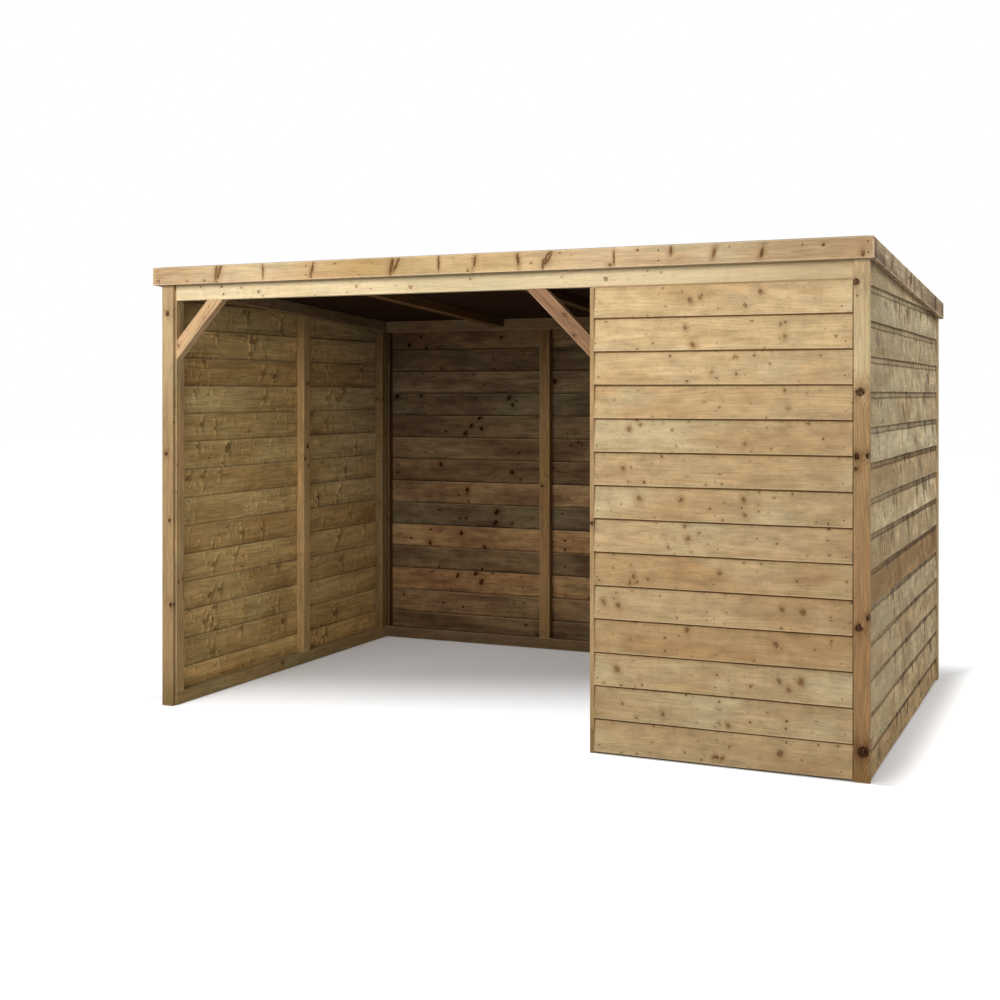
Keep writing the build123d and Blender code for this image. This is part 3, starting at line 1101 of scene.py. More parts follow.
def splitBoards(place, width):
    # a sheet laid as narrow boards: each has a stretch of grain of its own, with a seam between
    along, across, depth = split(place)
    share = across / width
    shifted = maths("FLOOR", share) * boardForm["patternStep"] + along
    return vectorOf(shifted, across, depth), maths("PINGPONG", share, 0.5) * width


def dressTimber(name, seed):
    # a material of its own for one timber, on the CAD node's slots
    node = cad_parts[name]
    slotLook = timberLooks[node.material_slots[0].material.name]
    ownLook = ownLooks.get(name, {})
    look = {**usualLook, **slotLook, **ownLook}
    for part in ("pine", "weather"):
        look[part] = {**slotLook[part], **ownLook.get(part, {})}
    axes, corner, size = timberFrame(name)
    material, tree = newMaterial(name + "_finish")
    objectPlace = objectPlaceOf(tree)
    own = useGroup(grainFrame, {
        "Place": objectPlace, "Along": axes[0], "Across": axes[1], "Depth": axes[2], "Corner": corner,
    })["Place"]
    apart = np.array((boardForm["patternStep"] * seed, 0.0, 0.0))
    placed = []
    for along, across, radius, *form in shownKnots.get(name, []):
        form = (*form, knotRims["drawnOut"]) if form else (1.0, 0.0, knotRims["round"])
        placed.append((apart + (along - corner[0], across - corner[1], radius), form))
    if not placed:
        placed = [(apart + knot, (1.0, 0.0, knotRims["seeded"]))
                  for knot in seededKnots(look["knots"], size, seed)]
    placed.sort(key=lambda knot: knot[0][0])
    place = own + apart
    rows = [placed[number::3] for number in range(3)]
    knots = [nearestKnot(place, row) for row in rows if row]
    weatherAndShadeInputs = {}
    if "boardWidth" in look:
        place, weatherAndShadeInputs["From Lap"] = splitBoards(place, look["boardWidth"])
    if "shadeFrom" in look:
        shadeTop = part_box("front_fascia")[0].z + look["shadeFrom"]
        weatherAndShadeInputs["From Lap"] = shadeTop - split(objectPlace)[2]
    if look.get("runsFrom") == "top":
        weatherAndShadeInputs["From Lap"] = float(size[1]) - split(own)[1]
    finishTimber(look, place, objectPlace, knots, (own, size), colour(*look["tone"]), weatherAndShadeInputs)
    for number in range(len(node.material_slots)):
        node.material_slots[number].material = material


# Boards

boardForm = {
    "edgeRadius": 0.0016,
    "faceRows": 6,
    "stationGap": 0.045,      # between the rings of points along a board
    "wave": 0.0013,           # how far a board's edges stray from straight
    "cup": 0.0009,            # and its faces
    "mainKnots": 5,
    "whorlGap": 0.7,          # along a board, between its clusters of knots, at most
    "whorlEnds": (0.03, 0.97),
    "whorlSpread": 0.03,
    "leastKnot": 0.35,        # a small knot's radius beside the largest
    "warmSpread": 0.02,       # how much warmer or cooler a board turns out
    "knotMargin": 0.012,      # between a knot's middle and a board's edge
    "leastHeight": 0.006,     # a board that the roof cuts lower than this ends there,
    "leastShown": 0.012,      # and a wall's top board shows more than this
    "patternStep": 5.3,       # along the grain, between one board's figure and the next
    "innerFace": (0.006, 0.002),   # depths between which the outer look gives way to the inner one
}


def boardSection():
    # a rounded rectangle: (out from the inner face, up from the foot), with points up each face
    radius = boardForm["edgeRadius"]
    thick = timberSizes["boardThickness"]
    wide = timberSizes["boardWidth"]
    turn = np.radians(np.linspace(0, 90, 4))
    rise = np.linspace(radius, wide - radius, boardForm["faceRows"])[1:-1]
    corners = [
        ((thick - radius, radius), -90), ((thick - radius, wide - radius), 0),
        ((radius, wide - radius), 90), ((radius, radius), 180),
    ]
    arcs = []
    for (out, up), start in corners:
        angle = turn + math.radians(start)
        arcs.append(np.stack([out + radius * np.cos(angle), up + radius * np.sin(angle)], -1))
    outerFace = np.stack([np.full_like(rise, thick), rise], -1)
    innerFace = np.stack([np.zeros_like(rise), rise[::-1]], -1)
    return np.concatenate([arcs[0], outerFace, arcs[1], arcs[2], innerFace, arcs[3]])


def boardCount(wall):
    return math.ceil((wall["highest"] - boardForm["leastShown"] - wall["foot"]) / wall["cover"])


def boardFoot(wall, number):
    # height of a board's lower edge: each covers a part of the one below
    return wall["foot"] + number * wall["cover"]


def wallTop(wall, along):
    # what cuts the boards: the roof's slope on a side wall, and a level line on the others
    return roofLine(along) if wall["axis"] == "y" else np.full_like(along, wall["head"])


def boardLean(wall, number, along, out, height):
    # how far a board's point stands from the frame: it leans out at the foot over the board below
    wide = timberSizes["boardWidth"]
    lean = timberSizes["boardThickness"] * wide / wall["cover"]
    cup = boardForm["cup"] * wander(along, wall["seed"] * 100 + number + 50)
    return out + cup + lean * (1 - (height - boardFoot(wall, number)) / wide)


def inFrame(wall, along, out, height):
    # places along a wall, out from its inner face and up from the ground, as points of the frame
    across = wall["face"] + wall["outward"] * out
    order = (along, across, height) if wall["axis"] == "x" else (across, along, height)
    return np.stack(order, -1).reshape(-1, 3)


def lappedBoard(wall, number, knots, tone):
    # one board: its section is carried along the wall. Where the roof or the ground cuts it, its
    # height is scaled between the two cuts.
    foot = boardFoot(wall, number)
    wide = timberSizes["boardWidth"]
    thick = timberSizes["boardThickness"]
    stations = max(3, int((wall["end"] - wall["start"]) / boardForm["stationGap"]))
    along = np.linspace(wall["start"], wall["end"], stations)
    low = np.maximum(foot, timberSizes["groundGap"]) + 0 * along
    high = np.minimum(foot + wide, wallTop(wall, along))
    standing = high - low > boardForm["leastHeight"]
    along, low, high = along[standing], low[standing], high[standing]
    section = boardSection()
    share = section[None, :, 1] / wide
    height = low[:, None] + share * (high - low)[:, None]
    wave = boardForm["wave"] * wander(along, wall["seed"] * 100 + number)
    height = height + wave[:, None] * (1 - share)
    alongAll = np.broadcast_to(along[:, None], height.shape)
    outAll = np.broadcast_to(section[None, :, 0], height.shape)
    points = inFrame(wall, alongAll, boardLean(wall, number, alongAll, outAll, height), height)
    shifted = alongAll + boardForm["patternStep"] * (number + 1)
    place = np.stack([shifted, height - foot, outAll], -1)
    belowLap = foot + wall["cover"] - height           # outside, under the next board's foot
    aboveLap = height - foot - (wide - wall["cover"])  # inside, over the last board's top
    total = len(points)
    attributes = {
        "grainPlace": place.reshape(-1, 3),
        "boardTone": np.tile(np.array(tone), (total, 1)),
        "fromLap": np.where(outAll > thick / 2, belowLap, aboveLap).ravel(),
    }
    for slot, (where, across, radius) in enumerate(knots):
        knot = (where + boardForm["patternStep"] * (number + 1), across, radius)
        attributes[f"knot{slot + 1}"] = np.tile(np.array(knot), (total, 1))
    return {"points": points, "faces": tubeFaces(len(along), len(section)), "attributes": attributes}


def boardKnots(wall, number, draw):
    # the knots named for this board first, then seeded ones in whorls along it
    knots = []
    foot = boardFoot(wall, number)
    shownFrom = foot + wall["shownFrom"]
    for along, height, radius in wall["knots"]:
        if shownFrom <= height < shownFrom + wall["cover"]:
            knots.append((along, height - foot, radius * wall["shownSize"]))
    length = wall["end"] - wall["start"]
    clusters = max(2, int(length / boardForm["whorlGap"]))
    whorls = wall["start"] + draw.uniform(*boardForm["whorlEnds"], clusters) * length
    margin = boardForm["knotMargin"]
    while len(knots) < boardForm["mainKnots"]:
        along = draw.choice(whorls) + draw.normal(0, boardForm["whorlSpread"])
        across = draw.uniform(margin, timberSizes["boardWidth"] - margin)
        least = boardForm["leastKnot"]
        radius = wall["knotSize"] * (least + (1 - least) * draw.uniform(0, 1) ** 2)
        knots.append((along, across, radius))
    return knots[:boardForm["mainKnots"]]


def boardTone(wall, number, total, draw):
    # how a board's colour differs from the rest: lighter or darker, and warmer or cooler
    light = 1.0 + wall["toneSpread"] * draw.uniform(-1, 1) + wall["tones"].get(number, 0.0)
    # the rise is painted light: boards lighter towards the top of the wall
    light *= 1.0 + wall["rise"] * (number / total - 0.5)
    warm = boardForm["warmSpread"] * draw.uniform(-1, 1) + wall["warmth"].get(number, 0.0)
    return (light * (1 + warm), light, light * (1 - warm))


def makeBoards(wall):
    # every board of a wall, as closed shells in one mesh
    draw = np.random.default_rng(wall["seed"])
    total = boardCount(wall)
    shells = []
    for number in range(total):
        knots = boardKnots(wall, number, draw)
        shells.append(lappedBoard(wall, number, knots, boardTone(wall, number, total, draw)))
    return shells


# How a side wall's look changes along it and between its faces. The places are Y and heights.
sideChange = {
    "dryFront": (-1.05, 0.1),      # the marks of rain, and the painted shadow band under the laps, grow from the front to here,
    "leastMarks": {"Run Amount": 0.1, "Band Amount": 0.35, "Scuff Amount": 0.4},
    "dimFrom": (0.1, 1.0),         # and inside the boards darken towards the back, most at the top: painted shade
    "dimHeight": (0.5, 1.5),
    "endless": 1000.0,             # a board's length to the edge wear, so that its ends stay plain
}


def boardMaterial(name, look):
    # a wall's boards: place in the grain, tone and knots come from the mesh, board by board. Inner
    # tells the sheltered face from the outer one by the depth into the board.
    material, tree = newMaterial(name)
    read = {label: addNode(tree, "Attribute", attribute_name=label)
            for label in ("grainPlace", "boardTone", "fromLap")}
    form = {label: look[label.lower()] for label in ("Spike", "Lean", "Stray", "Soft")}
    knots = []
    for number in range(boardForm["mainKnots"]):
        knot = addNode(tree, "Attribute", attribute_name=f"knot{number + 1}")
        knots.append({"Knot": knot["Vector"], **form})
    objectPlace = objectPlaceOf(tree)
    _, back, height = split(objectPlace)
    place = read["grainPlace"]["Vector"]
    along, _, depth = split(place)
    inner = ramp(depth, *boardForm["innerFace"])
    # inner faces: their sheltered colour, and painted light and shade, lighter on the side walls and
    # darker on the front and back walls
    tone = tinted(inner, read["boardTone"]["Vector"], look["inside"])
    # painted shade: the inner faces of a side wall darken towards the back and the top
    if "insideBack" in look:
        paintedInsideShade = inner * ramp(back, *sideChange["dimFrom"]) * ramp(height, *sideChange["dimHeight"])
        tone = tinted(paintedInsideShade, tone, look["insideBack"])
    size = (sideChange["endless"], timberSizes["boardWidth"], timberSizes["boardThickness"])
    weatherAndShadeInputs = {
        "Place": vectorOf(along, 0.0, height),
        "From Lap": read["fromLap"]["Fac"],
        "Exposed": inner * (look["sheltered"] - 1.0) + 1.0,
    }
    if "outerFibre" in look:
        backwards = ramp(back, *sideChange["dryFront"])
        for label, least in sideChange["leastMarks"].items():
            weatherAndShadeInputs[label] = (backwards * (1 - least) + least) * look["weather"][label]
        fibres = {label: inner * (look["pine"][label] - outer) + outer
                  for label, outer in look["outerFibre"].items()}
        look = {**look, "pine": {**look["pine"], **fibres}}
    finishTimber(look, place, objectPlace, knots, (place, size), tone, weatherAndShadeInputs)
    return material


boardLooks = {
    "front": {
        "pine": {
            "Sapwood": colour(0.575, 0.412, 0.22),
            "Summerwood": colour(0.42, 0.265, 0.12),
            "Knotwood": colour(0.135, 0.055, 0.017),
            "Stain": colour(0.505, 0.325, 0.16),
            "Bloom": colour(0.62, 0.50, 0.29),
            "Ring Contrast": 0.5,
            "Fibre Contrast": 0.5,
            "Mottle Amount": 0.85,
            "Stain Amount": 0.75,
            "Bloom Amount": 0.7,
            "Dash Amount": 0.5,
            "Halo Amount": 0.95,
            "Ridge Amount": -0.08,
            "Pin Share": 0.65,
            "Pin Size": 0.0055,
            "Knot Strength": 0.85,
        },
        "edge": {"Worn": colour(0.68, 0.52, 0.31), "Width": 0.007, "Amount": 0.5},
        "weather": {"Grey Amount": 0.15, "Run Amount": 0.08, "Splash Amount": 0.1, "Line Amount": 0.85,
                    "Band Height": 0.018, "Band Amount": 0.2},
        "inside": colour(0.80, 0.70, 0.55),
        "sheltered": 0.4,
        "spike": 1.15,
        "lean": 0.0,
        "stray": 0.3,
        "soft": 0.55,
        "ragged": 0.007,
        "bump": 0.6,
    },
    "side": {
        "pine": {
            "Sapwood": colour(0.47, 0.355, 0.205),
            "Summerwood": colour(0.33, 0.235, 0.12),
            "Knotwood": colour(0.11, 0.06, 0.028),
            "Stain": colour(0.35, 0.245, 0.125),
            "Bloom": colour(0.46, 0.38, 0.23),
            "Ring Contrast": 0.6,
            "Fibre Contrast": 1.1,
            "Mottle Amount": 0.5,
            "Stain Amount": 0.85,
            "Halo Amount": 0.7,
            "Ridge Amount": 1.9,
            "Pin Share": 0.55,
            "Pin Size": 0.006,
        },
        "edge": {"Worn": colour(0.60, 0.48, 0.30), "Width": 0.006, "Amount": 0.4},
        "weather": {"Grey Amount": 0.35, "Scuff Amount": 1.1, "Run Gap": 0.065, "Run Amount": 1.45,
                    "Splash Amount": 0.2, "Line Amount": 0.3, "Band Height": 0.028, "Band Amount": 1.2,
                    "Second Line": 0.9},
        "outerFibre": {"Fibre Contrast": 0.5, "Mottle Amount": 0.15},
        "inside": colour(1.22, 1.065, 0.75),
        "insideBack": colour(0.82, 0.87, 1.08),
        "sheltered": 0.15,
        "spike": 1.35,
        "lean": 0.05,
        "stray": 0.4,
        "soft": 0.25,
        "bump": 0.9,
        "relief": 0.003,
    },
    "back": {
        "pine": {
            "Sapwood": colour(0.40, 0.27, 0.15),
            "Summerwood": colour(0.28, 0.17, 0.08),
            "Knotwood": colour(0.055, 0.020, 0.006),
            "Stain": colour(0.23, 0.14, 0.082),
            "Bloom": colour(0.46, 0.36, 0.205),
            "Ring Contrast": 0.6,
            "Fibre Contrast": 1.2,
            "Mottle Amount": 1.2,
            "Stain Amount": 1.0,
            "Dash Amount": 0.8,
            "Halo Amount": 1.0,
            "Ridge Amount": 0.2,
            "Pin Share": 0.5,
            "Pin Size": 0.007,
            "Knot Strength": 1.7,
        },
        "edge": {"Worn": colour(0.46, 0.34, 0.20), "Width": 0.006, "Amount": 0.4},
        "weather": {"Grey Amount": 0.3, "Scuff Amount": 0.4, "Run Gap": 0.05, "Run Amount": 0.5,
                    "Splash Amount": 0.3, "Line Amount": 0.8, "Band Height": 0.016, "Band Amount": 0.5},
        "inside": colour(0.575, 0.515, 0.45),
        "sheltered": 0.3,
        "spike": 1.25,
        "lean": 0.2,
        "stray": 0.3,
        "soft": 0.25,
        "bump": 0.7,
        "relief": 0.002,
    },
}

# Axis is the one that a wall runs along, and outward the sign of the other one's outer side. Cover
# is what shows of a board, and shownFrom how far over its foot that starts, on the side with the
# named knots: (place along the wall, height, radius), where shownSize multiplies the radii. Rise is
# how much lighter the boards get towards the top, which is painted light, and tones and warmth are
# added to single boards, counted from the ground.
walls = {
    "panel": {
        "axis": "x", "outward": -1, "foot": timberSizes["groundGap"], "cover": 0.1407,
        "endGap": 0.004,          # between the boards and the corner trim
        "seed": 11, "look": "front", "slot": "front_boards",
        "studs": ["panel_opening_stud", "panel_middle_stud", "panel_corner_stud"],
        "shownFrom": 0.0, "shownSize": 0.8, "knotSize": 0.007, "toneSpread": 0.02, "rise": 0.22,
        "tones": {1: -0.04, 2: -0.04, 3: -0.19, 4: -0.06, 5: -0.22, 6: -0.06, 7: -0.12, 8: -0.14,
                  9: -0.06, 10: -0.10, 11: -0.01, 12: 0.035, 13: 0.055},
        "warmth": {3: 0.07, 5: 0.08, 8: 0.03, 10: 0.03, 12: -0.015, 13: -0.02},
        "knots": [
            (0.965, 1.901, 0.011), (1.195, 1.875, 0.010), (1.256, 1.926, 0.011), (0.944, 1.791, 0.010),
            (0.978, 1.717, 0.011), (1.357, 1.803, 0.008), (1.357, 1.743, 0.009), (1.058, 1.605, 0.008),
            (0.702, 1.369, 0.009), (1.195, 1.314, 0.007), (0.676, 1.206, 0.009), (0.927, 1.079, 0.009),
            (0.746, 1.082, 0.010), (1.190, 1.088, 0.010), (1.195, 1.027, 0.011), (0.957, 0.920, 0.009),
            (0.654, 0.631, 0.012), (0.591, 0.639, 0.011), (1.345, 0.653, 0.010), (1.428, 0.647, 0.013),
            (1.400, 0.569, 0.010), (0.953, 0.546, 0.009), (1.320, 0.512, 0.012), (0.649, 0.362, 0.011),
            (1.333, 0.369, 0.011), (1.420, 0.372, 0.013), (1.373, 0.336, 0.010), (0.850, 0.192, 0.010),
            (1.337, 0.081, 0.014),
        ],
    },
    "left": {
        "axis": "y", "outward": -1, "foot": timberSizes["groundGap"], "cover": 0.1396,
        "seed": 23, "look": "side", "slot": "weathered_boards",
        "studs": ["left_front_stud", "left_middle_stud", "left_back_stud"],
        "shownFrom": timberSizes["boardWidth"] - 0.1396, "shownSize": 1.0,
        "knotSize": 0.014, "toneSpread": 0.04, "rise": 0.0,
        "tones": {0: 0.14, 1: -0.04, 2: -0.03, 3: -0.06, 4: -0.03, 5: -0.21, 6: 0.01, 7: 0.03, 8: 0.16,
                  9: -0.07, 10: 0.16, 11: -0.14, 12: 0.18},
        "warmth": {3: 0.01, 5: 0.03, 6: -0.04, 8: -0.04, 10: -0.03, 11: 0.04, 12: -0.02, 13: -0.06},
        "knots": [
            (-0.799, 1.684, 0.009), (-0.262, 1.631, 0.010), (-0.142, 1.612, 0.012), (-0.871, 1.532, 0.009),
            (-0.244, 1.493, 0.010), (-0.815, 1.363, 0.009), (-0.688, 1.341, 0.008), (-0.846, 1.251, 0.008),
            (-0.809, 1.099, 0.009), (-0.656, 1.113, 0.008), (-0.455, 0.784, 0.008), (-0.262, 0.786, 0.008),
            (-0.704, 0.644, 0.011), (-0.116, 0.568, 0.012), (-0.704, 0.424, 0.009), (-0.688, 0.303, 0.012),
            (-0.060, 0.255, 0.014), (-0.720, 0.197, 0.012), (0.417, 1.492, 0.011), (0.532, 1.485, 0.011),
            (0.232, 1.406, 0.010), (0.396, 1.356, 0.009), (0.589, 1.547, 0.010), (0.812, 1.662, 0.009),
            (0.744, 1.196, 0.008), (0.610, 1.067, 0.009), (0.567, 0.531, 0.013), (0.502, 0.216, 0.014),
            (0.677, 0.794, 0.009), (0.545, 0.671, 0.010),
        ],
    },
    "right": {
        "axis": "y", "outward": 1, "foot": timberSizes["groundGap"] - 0.0176, "cover": 0.1396,
        "seed": 37, "look": "side", "slot": "weathered_boards",
        "studs": ["right_front_stud", "right_middle_stud", "right_back_stud"],
        "shownFrom": 0.0, "shownSize": 1.0, "knotSize": 0.019, "toneSpread": 0.05, "rise": 0.05,
        "tones": {0: -0.07, 1: 0.17, 2: 0.16, 3: 0.05, 4: 0.08, 5: -0.43, 6: -0.02, 7: 0.32, 8: -0.04,
                  9: 0.31, 10: 0.01, 11: 0.10, 12: -0.08, 13: 0.04},
        "warmth": {0: 0.12, 3: 0.0, 5: 0.24, 6: 0.03, 7: -0.05, 8: 0.03, 9: -0.07, 11: -0.02, 13: -0.08},
        "knots": [],
    },
    "back": {
        "axis": "x", "outward": 1, "foot": timberSizes["groundGap"], "cover": 0.13575,
        "seed": 41, "look": "back", "slot": "weathered_boards",
        "studs": ["back_left_stud", "back_inner_stud_left", "back_inner_stud_right", "back_right_stud"],
        "shownFrom": timberSizes["boardWidth"] - 0.13575, "shownSize": 0.8,
        "knotSize": 0.014, "toneSpread": 0.05, "rise": 0.0,
        "tones": {0: -0.19, 1: 0.10, 2: 0.49, 3: -0.18, 4: 0.45, 5: -0.25, 6: 0.27, 7: -0.19, 8: -0.13,
                  9: -0.21, 10: -0.21, 11: 0.10, 12: -0.19, 13: 0.34},
        "warmth": {2: 0.07, 3: -0.04, 4: 0.06, 5: -0.09, 6: 0.0, 7: 0.0, 9: -0.04, 10: -0.08, 11: -0.07,
                   12: -0.05, 13: -0.03},
        "knots": [
            (-1.489, 1.822, 0.014), (-1.574, 1.503, 0.018), (-1.405, 1.510, 0.012), (-0.807, 1.492, 0.016),
            (-0.787, 1.449, 0.012), (-1.000, 1.375, 0.016), (-1.061, 1.320, 0.014), (-0.993, 1.302, 0.012),
            (-1.102, 1.276, 0.016), (-0.888, 0.799, 0.018), (-0.900, 0.731, 0.018), (-1.129, 0.661, 0.013),
            (-0.973, 0.582, 0.012), (-1.027, 0.421, 0.018), (-0.993, 0.367, 0.018),
        ],
    },
}


def measureWall(wall, node):
    # a wall's inner face, its ends and its top, from the node that its boards stand in for
    low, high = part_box(node)
    inner = high if wall["outward"] < 0 else low
    wall["face"] = inner.y if wall["axis"] == "x" else inner.x
    wall["start"] = getattr(low, wall["axis"])
    wall["end"] = getattr(high, wall["axis"]) - wall.get("endGap", 0.0)
    wall["highest"] = high.z
    wall["head"] = high.z if wall["outward"] < 0 else roofLine(low.y)


boardMaterials = {label: boardMaterial(label + "_boards_finish", look)
                  for label, look in boardLooks.items()}
for name, wall in walls.items():
    node = name + "_cladding"
    measureWall(wall, node)
    shells = makeBoards(wall)
    makePiece(name + "_boards", joinShells(shells), boardMaterials[wall["look"]], wall["slot"], [node])
    print(name, "wall:", len(shells), "boards")

for seed, name in enumerate(sorted(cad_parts)):
    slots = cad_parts[name].material_slots
    if slots[0].material.name in timberLooks and not name.endswith("cladding"):
        dressTimber(name, seed + 1)
print("timbers finished")


# Nails

nailForm = {
    "radius": 0.0031,
    "rise": 0.0006,
    "sunk": 0.0015,
    "spots": 10,              # points round a head
    "aboveFoot": 0.030,       # a board's nails over its foot
    "scatter": 0.005,         # up and down, and twice that sideways
    "margin": 0.01,           # between a nail and the ground or the roof
    "dome": [(1.0, 0.4), (0.82, 0.85), (0.4, 1.0)],    # a head's rings: shares of radius and rise
}


def roundHeads(places, outward, radius, rise, sunk):
    # low domes: rings of points round each place, from a sunk rim to a nearly flat top
    outward = np.array(outward, float)
    side = np.cross(outward, (0.0, 0.0, 1.0) if abs(outward[2]) < 0.7 else (1.0, 0.0, 0.0))
    side /= np.linalg.norm(side)
    over = np.cross(outward, side)
    angle = np.linspace(0, 2 * math.pi, nailForm["spots"], endpoint=False)
    circle = np.cos(angle)[:, None] * side + np.sin(angle)[:, None] * over
    rings = [(1.0, -sunk)] + [(share, rise * up) for share, up in nailForm["dome"]]
    template = np.concatenate([radius * share * circle + up * outward for share, up in rings])
    faces = tubeFaces(len(rings), nailForm["spots"])
    return [{"points": place + template, "faces": faces} for place in places]


nailLook = {
    "zinc": colour(0.15, 0.125, 0.10),
    "rust": colour(0.10, 0.055, 0.03),
    "rustScale": 31.0,
    "rusted": (0.40, 0.62),
    "metal": (-0.35, 0.4),    # gains and offsets, by rust
    "roughness": (0.25, 0.5),
    "bump": {"Strength": 0.4, "Distance": 0.0003},
    "bumpScale": 900.0,
}


def nailMaterial():
    # zinc gone dull, with rust in patches
    material, tree = newMaterial("nail_finish")
    place = objectPlaceOf(tree)
    rust = ramp(noise(place, scale=nailLook["rustScale"], detail=3.0), *nailLook["rusted"])
    bump = {**nailLook["bump"], "Height": noise(place, scale=nailLook["bumpScale"])}
    paint(tree, {
        "Base Color": mixed(rust, nailLook["zinc"], nailLook["rust"]),
        "Metallic": fitted(rust, "metal", nailLook),
        "Roughness": fitted(rust, "roughness", nailLook),
        "Normal": addNode(tree, "Bump", bump)[0],
    })
    return material


def boardNails(wall):
    # a nail through each board into each stud, a little above the board's foot
    draw = np.random.default_rng(wall["seed"] + 500)
    margin = nailForm["margin"]
    places = []
    for stud in wall["studs"]:
        low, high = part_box(stud)
        middle = (getattr(low, wall["axis"]) + getattr(high, wall["axis"])) / 2
        for number in range(boardCount(wall)):
            along = np.array(middle + draw.uniform(-1, 1) * nailForm["scatter"] * 2)
            above = nailForm["aboveFoot"] + draw.uniform(-1, 1) * nailForm["scatter"]
            height = boardFoot(wall, number) + above
            if timberSizes["groundGap"] + margin < height < wallTop(wall, along) - margin:
                out = boardLean(wall, number, along, timberSizes["boardThickness"], height)
                places.append(inFrame(wall, along, out, height)[0])
    outward = (0.0, wall["outward"], 0.0) if wall["axis"] == "x" else (wall["outward"], 0.0, 0.0)
    return roundHeads(places, outward, nailForm["radius"], nailForm["rise"], nailForm["sunk"])


nailFinish = nailMaterial()
for name, wall in walls.items():
    makePiece(name + "_nails", joinShells(boardNails(wall)), nailFinish, wall["slot"])
print("nails made")


# Roof felt

feltForm = {
    "laps": [0.46, -0.36],    # Y of the lower edges of the two upper strips, one over the other
    "thickness": 0.0022,
    "clear": 0.001,           # between a strip and the felt turned up round it
    "wave": 0.0005,           # how far a strip's top strays, over what length, and aslant,
    "waveLength": 0.9,
    "waveSlant": 1.7,
    "edgeWave": 0.004,        # and its edge
    "edgeLength": 2.4,
    "stations": 70,           # rings of points across the roof
    "spots": 16,              # points down the slope
    "nailGap": 0.05,
    "nailRadius": 0.0048,
    "nailRise": 0.0011,
    "nailEdge": 0.02,         # between a row of nails and its lap,
    "nailBack": 0.03,         # or the back edge,
    "nailSide": (0.04, 0.03), # or the left and right edges
    "nailScatter": (0.006, 0.003),
}
feltTop = timberSizes["deckThickness"] + timberSizes["feltThickness"]


def feltStrip(layer):
    # a thin sheet: its section runs up the slope's fall and is carried across the roof
    low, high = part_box("roof_felt")
    inset = timberSizes["feltThickness"] + feltForm["clear"]
    across = np.linspace(low.x + inset, high.x - inset, feltForm["stations"])
    front = low.y + inset
    back = feltForm["laps"][layer]
    thick = feltForm["thickness"]
    share = np.linspace(1, 0, feltForm["spots"])
    top = np.stack([share, np.ones_like(share)], -1)
    section = np.concatenate([[(0.0, 0.0), (1.0, 0.0)], top])
    edge = back + feltForm["edgeWave"] * wander(across, 700 + layer, feltForm["edgeLength"])
    y = front + section[None, :, 0] * (edge - front)[:, None]
    aslant = y * feltForm["waveSlant"] + across[:, None]
    wave = feltForm["wave"] * wander(aslant, 710 + layer, feltForm["waveLength"])
    under = roofLine(y) + feltTop + layer * thick
    z = under + section[None, :, 1] * (thick + wave * (layer + 1) * 0.5 + feltForm["wave"])
    x = np.broadcast_to(across[:, None], y.shape)
    points = np.stack([x, y, z], -1).reshape(-1, 3)
    return {"points": points, "faces": tubeFaces(len(across), len(section))}


def feltNails():
    # clout nails in a row along each lap and along the back edge
    draw = np.random.default_rng(77)
    low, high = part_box("roof_felt")
    shells = []
    fromLeft, fromRight = feltForm["nailSide"]
    sideways, lengthways = feltForm["nailScatter"]
    rows = [(lap - feltForm["nailEdge"], layer + 1) for layer, lap in enumerate(feltForm["laps"])]
    rows.append((high.y - feltForm["nailBack"], 0))
    for place, layers in rows:
        x = np.arange(low.x + fromLeft, high.x - fromRight, feltForm["nailGap"])
        x = x + draw.uniform(-1, 1, len(x)) * sideways
        y = place + draw.uniform(-1, 1, len(x)) * lengthways
        z = roofLine(y) + feltTop + layers * (feltForm["thickness"] + feltForm["wave"])
        places = np.stack([x, y, z], -1)
        shells += roundHeads(places, (0.0, 0.0, 1.0), feltForm["nailRadius"], feltForm["nailRise"],
                             nailForm["sunk"])
    return shells


feltLook = {
    "chipScale": 420.0,
    "chips": (colour(0.035, 0.045, 0.035), colour(0.13, 0.15, 0.12)),
    "wornScale": 2.6,
    "worn": (0.4, 0.7),
    "wornShare": 0.5,
    "wornColour": colour(0.12, 0.125, 0.10),
    "runScale": (9.0, 0.8, 1.0),   # long down the slope
    "runs": (0.52, 0.7),
    "runShare": 0.35,
    "runColour": colour(0.19, 0.185, 0.15),
    "roughness": 0.92,
    "bump": {"Strength": 0.5, "Distance": 0.002},
    "bumpScale": 9.0,
    "chipBump": 0.5,
}


def feltMaterial():
    # mineral felt: fine chips of several shades on a dull charcoal-green sheet, with pale bloom
    # and dust in broad patches
    material, tree = newMaterial("roof_felt_finish")
    place = objectPlaceOf(tree)
    chips = addNode(tree, "TexVoronoi", {"Vector": place, "Scale": feltLook["chipScale"]})
    chipShade = addNode(tree, "SeparateColor", {0: chips["Color"]})[0]
    shown = mixed(chipShade, *feltLook["chips"])
    worn = ramp(noise(place, scale=feltLook["wornScale"], detail=4.0), *feltLook["worn"])
    shown = mixed(worn * feltLook["wornShare"], shown, feltLook["wornColour"])
    run = ramp(noise(place * feltLook["runScale"], detail=3.0), *feltLook["runs"])
    height = chipShade * feltLook["chipBump"] + noise(place, scale=feltLook["bumpScale"], detail=3.0)
    paint(tree, {
        "Base Color": mixed(run * feltLook["runShare"], shown, feltLook["runColour"]),
        "Roughness": feltLook["roughness"],
        "Normal": addNode(tree, "Bump", {**feltLook["bump"], "Height": height})[0],
    })
    return material


feltFinish = feltMaterial()
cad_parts["roof_felt"].material_slots[0].material = feltFinish
strips = [feltStrip(layer) for layer in range(len(feltForm["laps"]))]
makePiece("felt_upper_strips", joinShells(strips), feltFinish, "roof_felt")
makePiece("felt_nails", joinShells(feltNails()), nailFinish, "roof_felt")
print("felt finished")


# Camera, as the photograph was taken

